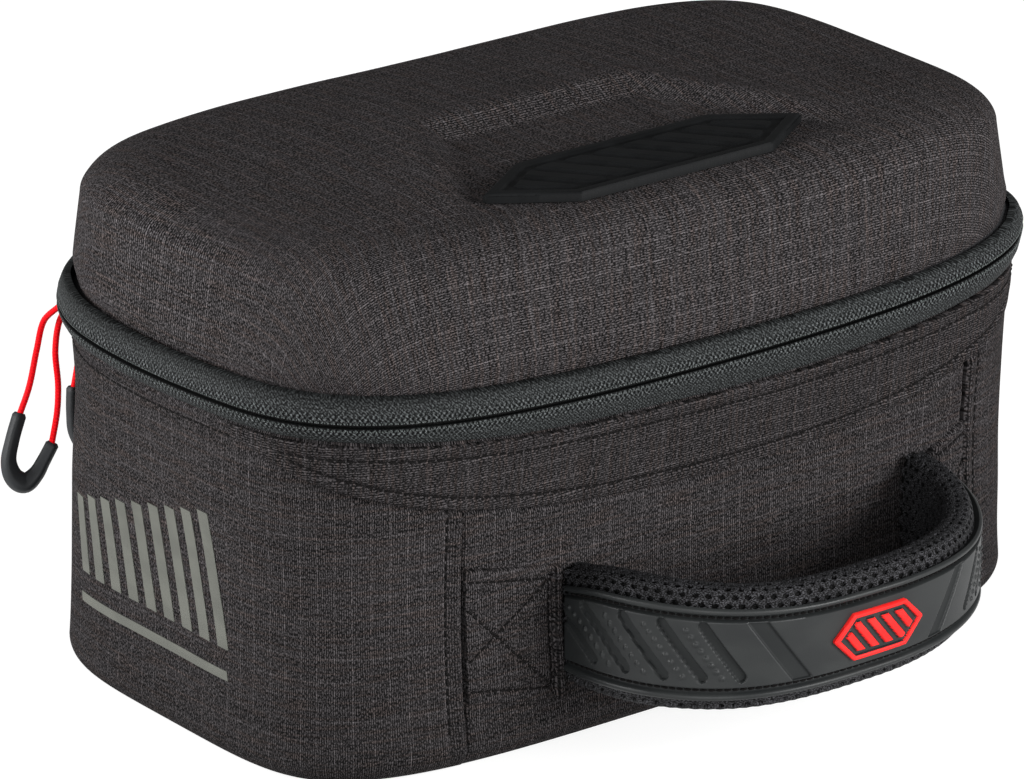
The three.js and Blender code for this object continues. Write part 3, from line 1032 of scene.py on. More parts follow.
    def wall(self, run: Array, climb: Array, proud: Array) -> Array:
        """Points of the cloth wall.

        Args:
            run: Distance along the ridge.
            climb: Distance up the cloth from the floor's edge.
            proud: How far outside the wall's face.

        Returns:
            The points.
        """
        run, climb, proud = np.broadcast_arrays(run, climb, proud)
        turn = np.clip(climb / self.floor_radius, 0.0, math.pi / 2)
        z_up = self.floor_radius + climb - self.quarter
        share = np.clip((z_up - self.floor_radius) / (self.cloth_top(run) - self.floor_radius), 0.0, 1.0)
        drawn = self.inset_low + (self.inset_top - self.inset_low) * share
        side = self.outward(run)[..., 0]
        ends = np.where(side > 0, self.right_waist, self.end_waist)
        waist = self.waist + (ends - self.waist) * np.abs(side)
        inset_up = drawn + 4 * waist * share * (1 - share) - proud
        swing = self.floor_radius + proud
        inset_low = self.inset_low + self.floor_radius - swing * np.sin(turn)
        low = climb < self.quarter
        z = np.where(low, self.floor_radius - swing * np.cos(turn), z_up)
        return self.inward(run, np.where(low, inset_low, inset_up), z)

    def tape_inset(self, run: Array, height: Array) -> Array:
        """How far in the swelling tape stands at a height from the zip line."""
        share = np.where(height < 0, -height / self.lower(run), height / self.upper(run))
        edge = np.where(height < 0, self.inset_top - self.overhang, self.upper_inset)
        return edge * np.abs(share) ** self.tape_swell

    def tape(self, run: Array, height: Array, proud: Array) -> Array:
        """Points of the zip tape at a height from the zip line."""
        run, height, proud = np.broadcast_arrays(run, height, proud)
        return self.inward(run, self.tape_inset(run, height) - proud, self.zip_height(run) + height)


def fine_steps(start: float, end: float, step: float, spots: Sequence[float] = (), near: float = 6.0,
               fine: float = 0.45) -> Array:
    """Steps from start to end, finer near some spots.

    Args:
        start: First value.
        end: Last value.
        step: Usual step.
        spots: Where to be finer.
        near: How far each spot reaches.
        fine: Step near a spot.

    Returns:
        The values in order.
    """
    values = [start]
    while values[-1] < end:
        close = any(abs(values[-1] - spot) < near for spot in spots)
        values.append(values[-1] + (fine if close else step))
    whole = np.array(values)
    return start + (whole - start) * (end - start) / (whole[-1] - start)


def weave_of(u: Array, v: Array) -> Array:
    """Two coordinates as one array of weave places."""
    return np.stack(np.broadcast_arrays(u, v), -1).astype(float)


# Base
@dataclass
class WallPanel:
    """One padded cloth wall, from the floor's edge to the tape."""

    form: CaseForm
    finishes: Finishes
    name: str
    node: str
    start: float
    end: float
    folded: bool
    ripple: Ripple
    yoke: Optional["Yoke"] = None
    padding: float = 3.0
    step: float = 1.5
    rows: int = 150
    lining_rows: int = 14
    lining_rise: float = 4.0
    hem: float = 5.6
    hem_low: float = 18.0
    top_hem: float = 4.5
    top_clear: float = 3.0
    edge_roll: float = 1.2
    lap: float = 3.0
    lap_sunk: float = 0.25
    swell: Mark = Mark(0.55, 46.0)
    dimple: Mark = Mark(0.16, 19.0)
    swell_rise: Pair = (8.0, 34.0)
    swell_fall: Pair = (2.0, 20.0)
    seam_rise: Pair = (4.0, 18.0)
    top_seam: Mark = Mark(-0.45, 0.8)
    yoke_line: Mark = Mark(-1.2, 1.3)
    yoke_under: float = 0.4
    hem_seam: Mark = Mark(-0.6, 0.75)
    hem_fold: Mark = Mark(0.9, 1.5)
    fold_at: float = 1.8
    pull_pitch: float = 9.3
    gutter: Mark = Mark(-2.0, 1.2)
    pucker: Mark = Mark(0.35, 5.0)
    pucker_at: float = 7.0
    pucker_pitch: float = 13.0

    def relief(self, run: Array, climb: Array) -> Array:
        """How far the cloth stands proud of the wall's face.

        Args:
            run: Distance along the ridge.
            climb: Distance up the cloth.

        Returns:
            The height over the face.
        """
        run, climb = np.broadcast_arrays(run, climb)
        edge = np.maximum(0.0, np.minimum(run - self.start, self.end - run))
        below = self.form.climb_top(run) - climb
        swell = self.ripple.swell(run, climb, self.swell) + self.ripple.swell(run, climb, self.dimple)
        relief = swell * smooth(climb, *self.swell_rise) * smooth(below, *self.swell_fall)
        relief = relief + self.top_seam.at(below - self.top_hem) - self.form.tuck(below)
        if self.yoke:
            over = climb - self.form.climb_at(self.yoke.low(run))
            relief = relief + self.yoke_line.at(over + self.yoke_under) * self.yoke.covers(run)
        rise = smooth(climb, *self.seam_rise)
        if self.folded:
            pull = 0.75 + 0.25 * np.cos(climb * TURN / self.pull_pitch)
            relief = relief + self.hem_seam.at(edge - self.hem) * pull * rise
            relief = relief + self.hem_fold.at(edge - self.fold_at) * rise
            return relief - roll(edge, self.edge_roll) * rise
        pucker = self.pucker.at(edge - self.pucker_at) * np.cos(climb * TURN / self.pucker_pitch)
        relief = relief + (pucker + self.gutter.at(edge)) * rise
        return relief - self.form.seam_fold * smooth(climb, 0.0, self.form.quarter)

    def face(self, run: Array, climb: Array) -> Array:
        """Points of the cloth's outer face."""
        return self.form.wall(run, climb, self.relief(run, climb))

    def build(self) -> None:
        """Makes the panel, cloth outside and lining inside."""
        lap = 0.0 if self.folded else self.lap
        run = fine_steps(self.start - lap, self.end + lap, self.step, (self.start, self.end))[None, :]
        climb = shares(self.rows) * self.form.climb_top(run)
        inside = shares(self.lining_rows) * (self.form.climb_top(run) + self.lining_rise)
        under = (run < self.start) | (run > self.end)
        inner = self.form.wall(run, inside, -self.padding - self.lap_sunk * under)
        mesh = PieceMesh()
        mesh.solid(self.face(run, climb), inner, weave_of(run, climb), weave_of(run, inside), 1)
        made = mesh.build(self.name, self.finishes.cloth, self.finishes.lining)
        fit(made, Body.BASE, "cloth", self.node)

    def hem_lines(self) -> list[Line]:
        """The upright rows of stitches along the folded ends."""
        lines = []
        for run in (self.start + self.hem, self.end - self.hem):
            top = float(self.form.climb_top(np.array(run))) - self.top_clear
            climb = np.linspace(self.hem_low, top, 160)
            runs = np.full_like(climb, run)
            lines.append(Line(self.face(runs, climb), self.form.outward(runs)))
        return lines

    def top_line(self, start: float, end: float) -> Line:
        """The level row of stitches under the tape between two places."""
        run = np.linspace(start, end, 400)
        return Line(self.face(run, self.form.climb_top(run) - self.top_hem), self.form.outward(run))


@dataclass
class Yoke:
    """The crescent of cloth laid over the front under the zip."""

    form: CaseForm
    finishes: Finishes
    ripple: Ripple
    left: float = -149.2
    right: float = 148.0
    middle: float = 10.0
    lowest: float = 75.0
    tip: float = 3.0
    power: Pair = (1.8, 2.1)
    proud: float = 2.2
    hem: float = 4.6
    top_hem: float = 4.4
    step: float = 0.8
    rows: int = 64
    back_rows: int = 6
    clear: float = 0.1
    fade: float = 12.0
    hug_depth: float = 0.6
    hug_ease: Pair = (3.0, 6.0)
    swell: Mark = Mark(0.22, 24.0)
    swell_rise: Pair = (3.0, 9.0)
    sewn_width: Pair = (8.0, 16.0)
    left_thin: float = 1.4
    left_ease: Pair = (6.0, 45.0)
    right_thin: float = 1.5
    right_ease: Pair = (60.0, 10.0)
    edge_roll: float = 1.1
    edge_fall: float = 1.7
    hem_seam: Mark = Mark(-0.8, 0.75)
    hem_fold: Mark = Mark(0.25, 1.3)
    fold_at: float = 2.4
    top_seam: Mark = Mark(-0.6, 0.75)
    stitch_room: Pair = (10.5, 9.5)

    @property
    def start(self) -> float:
        """Where the crescent begins along the ridge."""
        return self.form.run_at(self.left, Side.FRONT)

    @property
    def end(self) -> float:
        """Where the crescent ends along the ridge."""
        return self.form.run_at(self.right, Side.FRONT)

    def low(self, run: Array) -> Array:
        """The height of the crescent's lower edge."""
        middle = self.form.run_at(self.middle, Side.FRONT)
        tip = self.form.cloth_top(run) - self.tip
        left = np.clip((middle - run) / (middle - self.start), 0.0, 1.0) ** self.power[0]
        right = np.clip((run - middle) / (self.end - middle), 0.0, 1.0) ** self.power[1]
        return self.lowest + (tip - self.lowest) * (left + right)

    def covers(self, run: Array) -> Array:
        """1 where the crescent lies over the wall, fading at its tips."""
        onto = smooth(run, self.start, self.start + self.fade)
        return onto * smooth(-run, -self.end, self.fade - self.end)

    def hug(self, run: Array) -> Array:
        """How far the cloth sinks where the front panel is set back under it."""
        before, past = self.hug_ease
        left = self.form.run_at(self.form.seam_left, Side.FRONT)
        right = self.form.run_at(self.form.seam_right, Side.FRONT)
        onto = smooth(run, left - before, left + past)
        return self.hug_depth * onto * smooth(-run, -right - before, past - right)

    def relief(self, run: Array, z: Array) -> Array:
        """How far the crescent's face stands proud of the wall.

        Args:
            run: Distance along the ridge.
            z: Height.

        Returns:
            The height over the wall.
        """
        run, z = np.broadcast_arrays(run, z)
        above = z - self.low(run)
        below = self.form.cloth_top(run) - z
        wide = smooth(above + below, *self.sewn_width)
        swell = self.ripple.swell(run, z, self.swell) * smooth(above, *self.swell_rise)
        right = smooth(run, self.end - self.right_ease[0], self.end - self.right_ease[1])
        left = 1 - smooth(run, self.start + self.left_ease[0], self.start + self.left_ease[1])
        relief = self.proud - self.hug(run) + swell - self.right_thin * right - self.left_thin * left
        relief = relief - self.edge_fall * roll(above, self.edge_roll)
        relief = relief + self.hem_seam.at(above - self.hem) * wide
        relief = relief + self.hem_fold.at(above - self.fold_at) - self.form.tuck(below)
        return relief + self.top_seam.at(below - self.top_hem) * wide

    def face(self, run: Array, z: Array) -> Array:
        """Points of the crescent's outer face."""
        return self.form.wall(run, self.form.climb_at(z), self.relief(run, z))

    def build(self) -> None:
        """Makes the crescent."""
        run = fine_steps(self.start, self.end, self.step)[None, :]
        low, top = self.low(run), self.form.cloth_top(run)
        z, back = (low + (top - low) * shares(rows) for rows in (self.rows, self.back_rows))
        inner = self.form.wall(run, self.form.climb_at(back), self.clear - self.hug(run))
        mesh = PieceMesh()
        mesh.solid(self.face(run, z), inner, weave_of(run, z), weave_of(run, back))
        made = mesh.build("yoke", self.finishes.upright)
        width = float((top - low).mean())
        length = self.end - self.start
        length * MM
        float((top - low).max()) * MM
        width * length * MM * MM
        fit(made, Body.BASE, "cloth", "front_yoke")

    def lines(self) -> list[Line]:
        """The rows of stitches along the lower edge and under the tape."""
        run = np.linspace(self.start, self.end, 900)
        low, top = self.low(run), self.form.cloth_top(run)
        rows = []
        for z, room in zip((low + self.hem, top - self.top_hem), self.stitch_room):
            kept = top - low > room
            rows.append(Line(self.face(run[kept], z[kept]), self.form.outward(run[kept])))
        return rows


@dataclass
class ClothBase:
    """The cloth tub: four walls, the yoke, the floor, their stitches and the printed bars."""

    form: CaseForm
    finishes: Finishes
    stitch: Stitch = Stitch()
    floor_rows: int = 40
    floor_step: float = 3.0
    floor_thick: float = 3.0
    floor_crown: float = 0.5
    floor_lip: float = 0.15
    bars: int = 9
    bars_before: float = 47.0
    bar_pitch: float = 9.4
    bar_width: float = 5.2
    bar_lean: float = 0.22
    bar_low: float = 37.0
    bar_height: float = 24.0
    bar_growth: float = 2.2
    bar_line: Pair = (27.0, 30.0)
    ink_proud: float = 0.28
    ink_sunk: float = 0.2

    def __post_init__(self) -> None:
        """Places the walls between the upright seams."""
        at = self.form.run_at
        front = at(self.form.seam_left, Side.FRONT), at(self.form.seam_right, Side.FRONT)
        back = at(self.form.seam_right, Side.BACK), at(self.form.seam_left, Side.BACK)
        turn = self.form.around
        self.yoke = Yoke(self.form, self.finishes, Ripple(15))
        walls = (
            ("front_wall", "front_panel", *front, False, Ripple(11), self.yoke),
            ("end_wall_right", "end_panel_right", front[1], back[0] + turn, True, Ripple(12), self.yoke),
            ("back_wall", "back_panel", *back, False, Ripple(13), None),
            ("end_wall_left", "end_panel_left", back[1], front[0], True, Ripple(14), self.yoke),
        )
        self.walls = [WallPanel(self.form, self.finishes, *wall) for wall in walls]
        _, self.right, self.back, self.left = self.walls

    def build(self) -> None:
        """Makes every piece of the tub."""
        for part in (*self.walls, self.yoke):
            part.build()
        self.build_floor()
        self.build_stitches()
        self.build_bars()

    def build_floor(self) -> None:
        """Makes the flat floor, cloth below and lining above."""
        inset = self.form.inset_low + self.form.seam_fold + self.form.floor_radius + self.form.gap
        run = np.arange(0.0, self.form.around, self.floor_step)
        rim = self.form.inward(run, np.full_like(run, inset), np.zeros_like(run))
        spread = np.linspace(0.02, 1.0, self.floor_rows)[:, None]
        lip = self.floor_lip * (spread > 0.99)
        crowned = self.floor_thick + self.floor_crown * (1 - spread ** 2)
        mesh = PieceMesh()
        rows = []
        for z, finish, flip in ((lip, 0, True), (crowned, 1, False)):
            points = rim[None] * spread[..., None]
            points[..., 2] = z
            places = np.concatenate([points[..., :2], points[:, :1, :2]], 1)
            number = mesh.grid(points, places, wrap=True, finish=finish, flip=flip)
            mesh.add_faces(number[:1], places[:1, :-1], finish, not flip)
            rows.append((number[-1], places[-1]))
        (low, places), (high, _) = rows
        mesh.strip(closed(low), closed(high), places)
        made = mesh.build("floor_panel", self.finishes.cloth, self.finishes.lining)
        fit(made, Body.BASE, "cloth", "bottom_panel")

    def build_stitches(self) -> None:
        """Makes the topstitching of the walls and the yoke."""
        left, right, back, yoke = self.left, self.right, self.back, self.yoke
        lines = [
            *left.hem_lines(), *right.hem_lines(), left.top_line(left.start, yoke.start),
            right.top_line(yoke.end, right.end), back.top_line(back.start, back.end), *yoke.lines(),
        ]
        self.stitch.sew("wall_stitches", lines, self.finishes.thread)

    def build_bars(self) -> None:
        """Makes the printed strip on the left end: plain slanted bars over a thin line."""
        mesh = PieceMesh()
        first = self.form.around / 2 - self.bars_before
        for number in range(self.bars):
            start = first + number * self.bar_pitch
            top = self.bar_low + self.bar_height + self.bar_growth * number
            self.print_on(mesh, (start, start + self.bar_width), (self.bar_low, top))
        end = first + (self.bars - 1) * self.bar_pitch + self.bar_width
        self.print_on(mesh, (first, end), self.bar_line)
        fit(mesh.build("end_print", self.finishes.ink), Body.BASE)

    def print_on(self, mesh: PieceMesh, along: Pair, heights: Pair) -> None:
        """Lays one thin printed shape on the left end, leaning back as it rises.

        Args:
            mesh: The piece to add to.
            along: Where it begins and ends along the ridge.
            heights: Its lowest and highest height.
        """
        (start, end), (low, high) = along, heights
        z = np.linspace(low, high, max(5, round((high - low) / 0.9)))[:, None]
        level = np.linspace(start, end, max(7, round((end - start) / 0.8)))[None, :]
        run = level - self.bar_lean * (z - low)
        climb = np.broadcast_to(self.form.climb_at(z), run.shape)
        over = self.left.relief(run, climb)
        face = self.form.wall(run, climb, over + self.ink_proud)
        under = self.form.wall(run[ENDS], climb[ENDS], over[ENDS] - self.ink_sunk)
        mesh.solid(face, under, weave_of(run, climb), weave_of(run, climb)[ENDS])


# Zip
@dataclass
class Zip:
    """The two tapes with their coils, and the cloth hinge between their ends."""

    form: CaseForm
    finishes: Finishes
    hinge_half: float = 85.0
    thickness: float = 1.6
    step: float = 1.1
    rows: int = 22
    slit: float = 0.5
    edge_roll: float = 0.3
    coil: Stitch = Stitch(pitch=0.95, length=0.6, radius=0.17, arch=0.08, sink=0.0)
    coil_height: float = 1.2
    back_rows: int = 4
    backing: float = 0.6
    sewn_roll: float = 0.8
    ribs: tuple[tuple[float, Mark], ...] = ((2.3, Mark(0.16, 0.7)), (4.4, Mark(0.12, 0.7)))
    strip: Pair = (0.05, 1.0)
    strip_depths: Pair = (-1.8, -2.1)
    hinge_grid: tuple[int, int] = (48, 150)
    hinge_weave: float = 110.0
    fold: float = 2.6

    @property
    def start(self) -> float:
        """Where the tapes begin along the ridge."""
        return self.form.run_at(-self.hinge_half - self.form.gap, Side.BACK)

    @property
    def end(self) -> float:
        """Where the tapes end along the ridge."""
        return self.form.run_at(self.hinge_half + self.form.gap, Side.BACK) + self.form.around

    def relief(self, run: Array, height: Array) -> Array:
        """The tape's low ribs, and how it rolls into the slit and at its sewn edge.

        Args:
            run: Distance along the ridge.
            height: Height from the zip line.

        Returns:
            The height over the tape's face.
        """
        size = np.abs(height)
        reach = np.where(height < 0, self.form.lower(run), self.form.upper(run))
        ribs = sum(mark.at(size - place) for place, mark in self.ribs)
        return ribs - roll(size - self.slit, self.edge_roll) - roll(reach - size, self.sewn_roll)

    def build(self) -> None:
        """Makes the tapes, the coils and the hinge."""
        self.build_tape("tape_lower", "base_tape", Body.BASE, -1)
        self.build_tape("tape_upper", "lid_tape", Body.LID, 1)
        self.build_hinge()

    def build_tape(self, name: str, node: str, body: Body, side: int) -> None:
        """Makes one tape with its half of the coil.

        Args:
            name: The piece's name.
            node: The solid that it stands for.
            body: The body that it rides on.
            side: 1 above the zip line, -1 below it.
        """
        run = np.arange(self.start, self.end, self.step)[None, :]
        slit, sewn = side * self.slit, self.form.upper(run) if side > 0 else -self.form.lower(run)
        height, back = (
            (slit + (sewn - slit) * shares(rows))[::side] for rows in (self.rows, self.back_rows))
        mesh = PieceMesh()
        mesh.solid(self.form.tape(run, height, self.relief(run, height)),
                   self.form.tape(run, back, -self.thickness - self.backing),
                   weave_of(run, height), weave_of(run, back))
        fit(mesh.build(name, self.finishes.tape), body, "zip_tape", node)
        teeth = PieceMesh()
        at = np.arange(self.start + 1.0, self.end - 1.0, self.coil.pitch)
        place = np.full_like(at, side * self.coil_height)
        points = self.form.tape(at, place, self.relief(at, place))
        upright = np.broadcast_to([0.0, 0.0, 1.0], points.shape)
        self.coil.lay(teeth, points, upright, self.form.outward(at))
        strip = side * np.array(self.strip)[::side, None]
        front, rear = (self.form.tape(run, strip, np.array(depth)) for depth in self.strip_depths)
        teeth.solid(front, rear, weave_of(run, strip), weave_of(run, strip), 1, 1)
        made = teeth.build(name.replace("tape", "coil"), self.finishes.coil, self.finishes.core)
        fit(made, body, "zip_tape")

    def build_hinge(self) -> None:
        """Makes the cloth hinge between the base and the lid."""
        start = self.form.run_at(self.hinge_half, Side.BACK)
        end = self.form.run_at(-self.hinge_half, Side.BACK)
        rows, columns = self.hinge_grid
        run = np.linspace(start, end, columns)[None, :]
        low, high = -self.form.lower(run), self.form.upper(run)
        height = low + (high - low) * shares(rows)
        mesh = PieceMesh()
        edge = np.minimum(height - low, high - height)
        outer = self.form.tape(run, height, -0.6 * roll(edge, 1.0))
        inner = self.form.tape(run, height, np.array(-self.thickness))
        mesh.solid(outer, inner, weave_of(run, height + self.hinge_weave), weave_of(run, height), 1)
        made = mesh.build("hinge_cloth", self.finishes.cloth, self.finishes.lining)
        float((high - low).mean()) * MM
        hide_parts("hinge_strip")
        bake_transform(made)
        log.info("%s: bends between base and lid", made.name)


# Lid
@dataclass
class MouldedLid:
    """The domed lid in one stretched piece of cloth, with its pressed recess and badge plate."""

    form: CaseForm
    finishes: Finishes
    ripple: Ripple
    thickness: float = 4.0
    draft: float = 3.7
    end_draft: float = 1.8
    tuck: float = 2.4
    behind: float = 2.0
    lining_low: float = 1.6
    lining_inset: float = 1.7
    top: float = 167.0
    crown: float = 4.0
    shoulder_out: float = 21.4
    shoulder_up: float = 11.9
    recess_floor: float = 166.5
    recess_back: float = 8.0
    recess_half: float = 40.0
    recess_slope: float = 0.556
    recess_ramp: float = 9.0
    recess_lip: Mark = Mark(0.8, 5.0)
    lip_out: float = 4.0
    lip_along: Pair = (-62.0, -30.0)
    swell: Mark = Mark(0.55, 52.0)
    dimple: Mark = Mark(0.14, 23.0)
    swell_rise: Pair = (128.0, 140.0)
    columns: int = 420
    rows: tuple[int, int, int] = (26, 22, 58)
    lining_rows: tuple[int, int, int] = (16, 8, 14)
    plate_y: float = -51.5
    plate_half: float = 61.0
    plate_shoulder: float = 37.0
    plate_depth: float = 33.0
    plate_thickness: float = 3.0
    plate_clear: Pair = (15.0, 12.0)
    plate_step: float = 0.55

    def build(self) -> None:
        """Makes the lid's cover and its plate."""
        self.build_cover()
        self.build_plate()

    def shell(self, depth: float, rows: tuple[int, int, int]) -> tuple[Array, Array]:
        """Points and weave places of the lid at a depth under its face.

        Args:
            depth: How far under the outer face.
            rows: Rows up the wall, round the shoulder and from there to the middle.

        Returns:
            The points, and the cloth's flat places.
        """
        form = self.form
        wall_rows, shoulder_rows, top_rows = rows
        run = (np.arange(self.columns) * form.around / self.columns)[None, :]
        inset = form.lid_inset + depth
        foot = self.lining_low if depth else form.upper(run) + form.gap - self.behind
        low = form.zip_height(run) + foot
        level = self.top - self.shoulder_up
        k = shares(wall_rows)
        z = low + (level - low) * k
        tuck = (self.lining_inset - inset if depth else self.tuck) * (1 - smooth(z - low, -1.5, 8.0))
        draft = self.draft + self.end_draft * np.maximum(0.0, form.outward(run)[..., 0]) ** 2
        wall = form.inward(run, inset + draft * k + tuck, z)
        rim = inset + self.draft
        edge = form.inward(run, inset + draft, level)
        turn = np.linspace(0.0, math.pi / 2, shoulder_rows + 1)[1:, None]
        drawn = (self.shoulder_out - depth) * (1 - np.cos(turn))
        spread = np.concatenate([np.ones_like(turn), np.linspace(1.0, 0.012, top_rows + 1)[1:, None]])
        drawn = np.concatenate([drawn, np.full((top_rows, 1), drawn[-1, 0])])
        rise = np.concatenate([np.sin(turn), np.ones((top_rows, 1))])
        x = edge[..., 0] * (1 - drawn / (form.length / 2 - rim)) * spread
        y = edge[..., 1] * (1 - drawn / (form.depth / 2 - rim)) * spread
        z = level + (self.shoulder_up - depth) * rise + self.crown * (1 - spread ** 2)
        dome = np.stack([x, y, np.broadcast_to(z, x.shape)], -1)
        self.press(dome, depth)
        points = np.concatenate([wall, dome])
        down = np.linalg.norm(np.diff(points, axis=0), axis=2)[::-1].cumsum(0)[::-1]
        start = wall_rows + shoulder_rows - 1
        fall = np.maximum(0.0, np.concatenate([down, np.zeros((1, self.columns))]) - down[start])
        flat = points[..., :2].copy()
        flat[:start] = points[start, :, :2]
        flat += form.outward(run)[..., :2] * fall[..., None]
        return points, np.concatenate([flat, flat[:, :1]], 1)

    def press(self, points: Array, depth: float) -> None:
        """Presses the soft-edged recess into the top.

        Args:
            points: The dome's points, which are moved.
            depth: How far they are under the outer face.
        """
        x, y, z = points[..., 0], points[..., 1], points[..., 2]
        half = self.recess_half + self.recess_slope * (self.recess_back - y)
        edge = np.minimum(half - np.abs(x), self.recess_back - y)
        inside = smooth(edge, -1.5, self.recess_ramp + 1.5)
        sunk = z - np.maximum(0.0, z - (self.recess_floor - depth)) * inside
        points[..., 2] = sunk + self.recess_lip.at(edge + self.lip_out) * smooth(y, *self.lip_along)

    def build_cover(self) -> None:
        """Makes the cloth cover and the lining under it."""
        points, places = self.shell(0.0, self.rows)
        points = self.soften(points)
        under, under_places = self.shell(self.thickness, self.lining_rows)
        mesh = PieceMesh()
        out = mesh.grid(points, places, wrap=True)
        within = mesh.grid(under, under_places, wrap=True, finish=1, flip=True)
        mesh.strip(closed(within[0]), closed(out[0]), places[0], 1)
        mesh.add_faces(out[-1:], places[-1:, :-1])
        mesh.add_faces(within[-1:, ::-1], under_places[-1:, -2::-1], 1)
        made = mesh.build("lid_cover", self.finishes.moulded, self.finishes.lining)
        fit(made, Body.LID, "cloth", "lid_shell")

    def soften(self, points: Array) -> Array:
        """Gives the moulded cloth its slight unevenness, away from the zip and the plate.

        Args:
            points: The cover's points.

        Returns:
            The points, moved along the cloth's outward direction.
        """
        across = np.roll(points, -1, 1) - np.roll(points, 1, 1)
        up = np.gradient(points, axis=0)
        normal = unit(np.cross(across, up))
        x, y, z = points[..., 0], points[..., 1], points[..., 2]
        swell = self.ripple.swell(x, y + z, self.swell) + self.ripple.swell(x + z, y, self.dimple)
        half, deep = self.plate_half, self.plate_depth / 2
        beside = smooth(np.abs(x), half, half + self.plate_clear[0])
        plate = np.maximum(beside, smooth(np.abs(y - self.plate_y), deep, deep + self.plate_clear[1]))
        return points + normal * (swell * plate * smooth(z, *self.swell_rise))[..., None]

    def build_plate(self) -> None:
        """Makes the rubber plate: a long hexagon with a raised rim and slanted ribs."""
        plate = HexPlate(self.plate_half, self.plate_shoulder, self.plate_depth, self.plate_thickness)
        x, y, height, _ = plate.relief(self.plate_step)
        bottom = self.recess_floor + self.form.gap
        top, under = (np.stack([x, y + self.plate_y, z + bottom], -1) for z in (height, np.zeros_like(x)))
        mesh = PieceMesh()
        mesh.solid(top, under[ENDS], weave_of(x, y), weave_of(x, y)[ENDS])
        fit(mesh.build("lid_plate", self.finishes.badge), Body.LID, "badge_rubber", "lid_badge")


@dataclass
class HexPlate:
    """A plain long hexagon with a raised rim and slanted ribs."""

    half: float
    shoulder: float
    depth: float
    thickness: float
    tip: float = 0.04
    rim: float = 0.085
    rib: float = 0.34
    lean: float = 0.8
    sunk: float = 0.3

    def relief(self, step: float) -> tuple[Array, Array, Array, Array]:
        """The plate's grid.

        Args:
            step: About how far apart the points are.

        Returns:
            X, y and height over the underside, as rows by columns, and 1 for each sunk cell.
        """
        x = np.linspace(-self.half, self.half, round(2 * self.half / step))[None, :]
        past = np.maximum(0.0, np.abs(x) - self.shoulder) / (self.half - self.shoulder)
        reach = self.depth / 2 * (1 - (1 - self.tip) * past)
        y = reach * np.linspace(-1.0, 1.0, round(self.depth / step))[:, None]
        x = np.broadcast_to(x, y.shape)
        slope = self.depth / 2 / (self.half - self.shoulder)
        side = (self.depth / 2 - np.abs(y) - slope * (np.abs(x) - self.shoulder)) / math.hypot(1, slope)
        edge = np.maximum(0.0, np.minimum(self.depth / 2 - np.abs(y), side))
        rim = self.rim * self.depth
        pitch = self.rib * self.depth
        phase = np.abs(np.mod((x + self.lean * y) / pitch, 1.0) - 0.5) * pitch
        rib = smooth(phase, pitch * 0.16, pitch * 0.16 + 2 * step)
        inside = smooth(edge, rim, rim + 1.6 * step)
        margin = smooth(edge, 2.0 * rim, 2.0 * rim + 1.6 * step)
        low = inside * (1 - rib * margin)
        height = self.thickness * (1 - self.sunk * low) - roll(edge, 0.3 * self.thickness)
        sunk = (low[:-1, :-1] + low[1:, 1:] > 1.0).astype(int)
        return x, y, height, sunk


# Handle
@dataclass(frozen=True)
class HandleForm:
    """The handle's outer face in plan, a D from the left root round to the right root."""

    centre: float = 17.5
    half: float = 72.5
    reach: float = 64.4
    power_left: float = 2.9
    power_right: float = 2.05
    root: float = -81.6
    level: float = 42.0
    slope: float = 0.015
    height: float = 37.0
    thickness: float = 11.5
    sag: float = 2.8
    sag_end: float = 55.0
    lifts: tuple[tuple[float, Mark], ...] = (
        (42.0, Mark(3.5, 36.0)), (175.0, Mark(-2.6, 35.0)), (0.0, Mark(-2.5, 12.0)))
    lift_half: float = 13.5
    samples: int = 12001

    @cached_property
    def table(self) -> tuple[Array, Array, Array]:
        """Distance run, x and y along the handle."""
        share = np.linspace(0.0, 1.0, self.samples)
        angle = math.pi * (1 - share)
        power = np.where(share < 0.5, 2 / self.power_left, 2 / self.power_right)
        x = self.centre + self.half * signed_power(np.cos(angle), power)
        y = self.root - self.reach * signed_power(np.sin(angle), power)
        return flat_run(x, y), x, y

    @property
    def length(self) -> float:
        """The handle's length along its outer face."""
        return float(self.table[0][-1])

    def line(self, run: Array) -> tuple[Array, Array]:
        """X and y at a distance along the handle."""
        return np.interp(run, self.table[0], self.table[1]), np.interp(run, self.table[0], self.table[2])

    def outward(self, run: Array) -> Array:
        """The level direction out of the handle's face."""
        near = np.clip(run, 0.6, self.length - 0.6)
        (x0, y0), (x1, y1) = self.line(near - 0.5), self.line(near + 0.5)
        return unit(np.stack([y1 - y0, x0 - x1, np.zeros_like(x0)], -1))

    def lift(self, run: Array) -> Array:
        """How far the handle's top edge rises left of its middle and sinks right of it."""
        return sum(mark.at(run - middle) for middle, mark in self.lifts)

    def at(self, run: Array, out: Array, up: Array) -> Array:
        """Points of the handle.

        Args:
            run: Distance along the handle.
            out: Distance out from its face.
            up: Height from its middle.

        Returns:
            The points.
        """
        run, out, up = np.broadcast_arrays(run, out, up)
        x, y = self.line(run)
        lift = self.lift(run) * np.clip((up + self.lift_half) / (2 * self.lift_half), 0.0, 1.0)
        low = np.clip(-up / (self.height / 2), 0.0, 1.0)
        sag = self.sag * (1 - smooth(run, 0.0, self.sag_end)) * low
        points = np.stack([x, y, self.level + self.slope * (x - self.centre) + up + lift - sag], -1)
        return points + self.outward(run) * out[..., None]


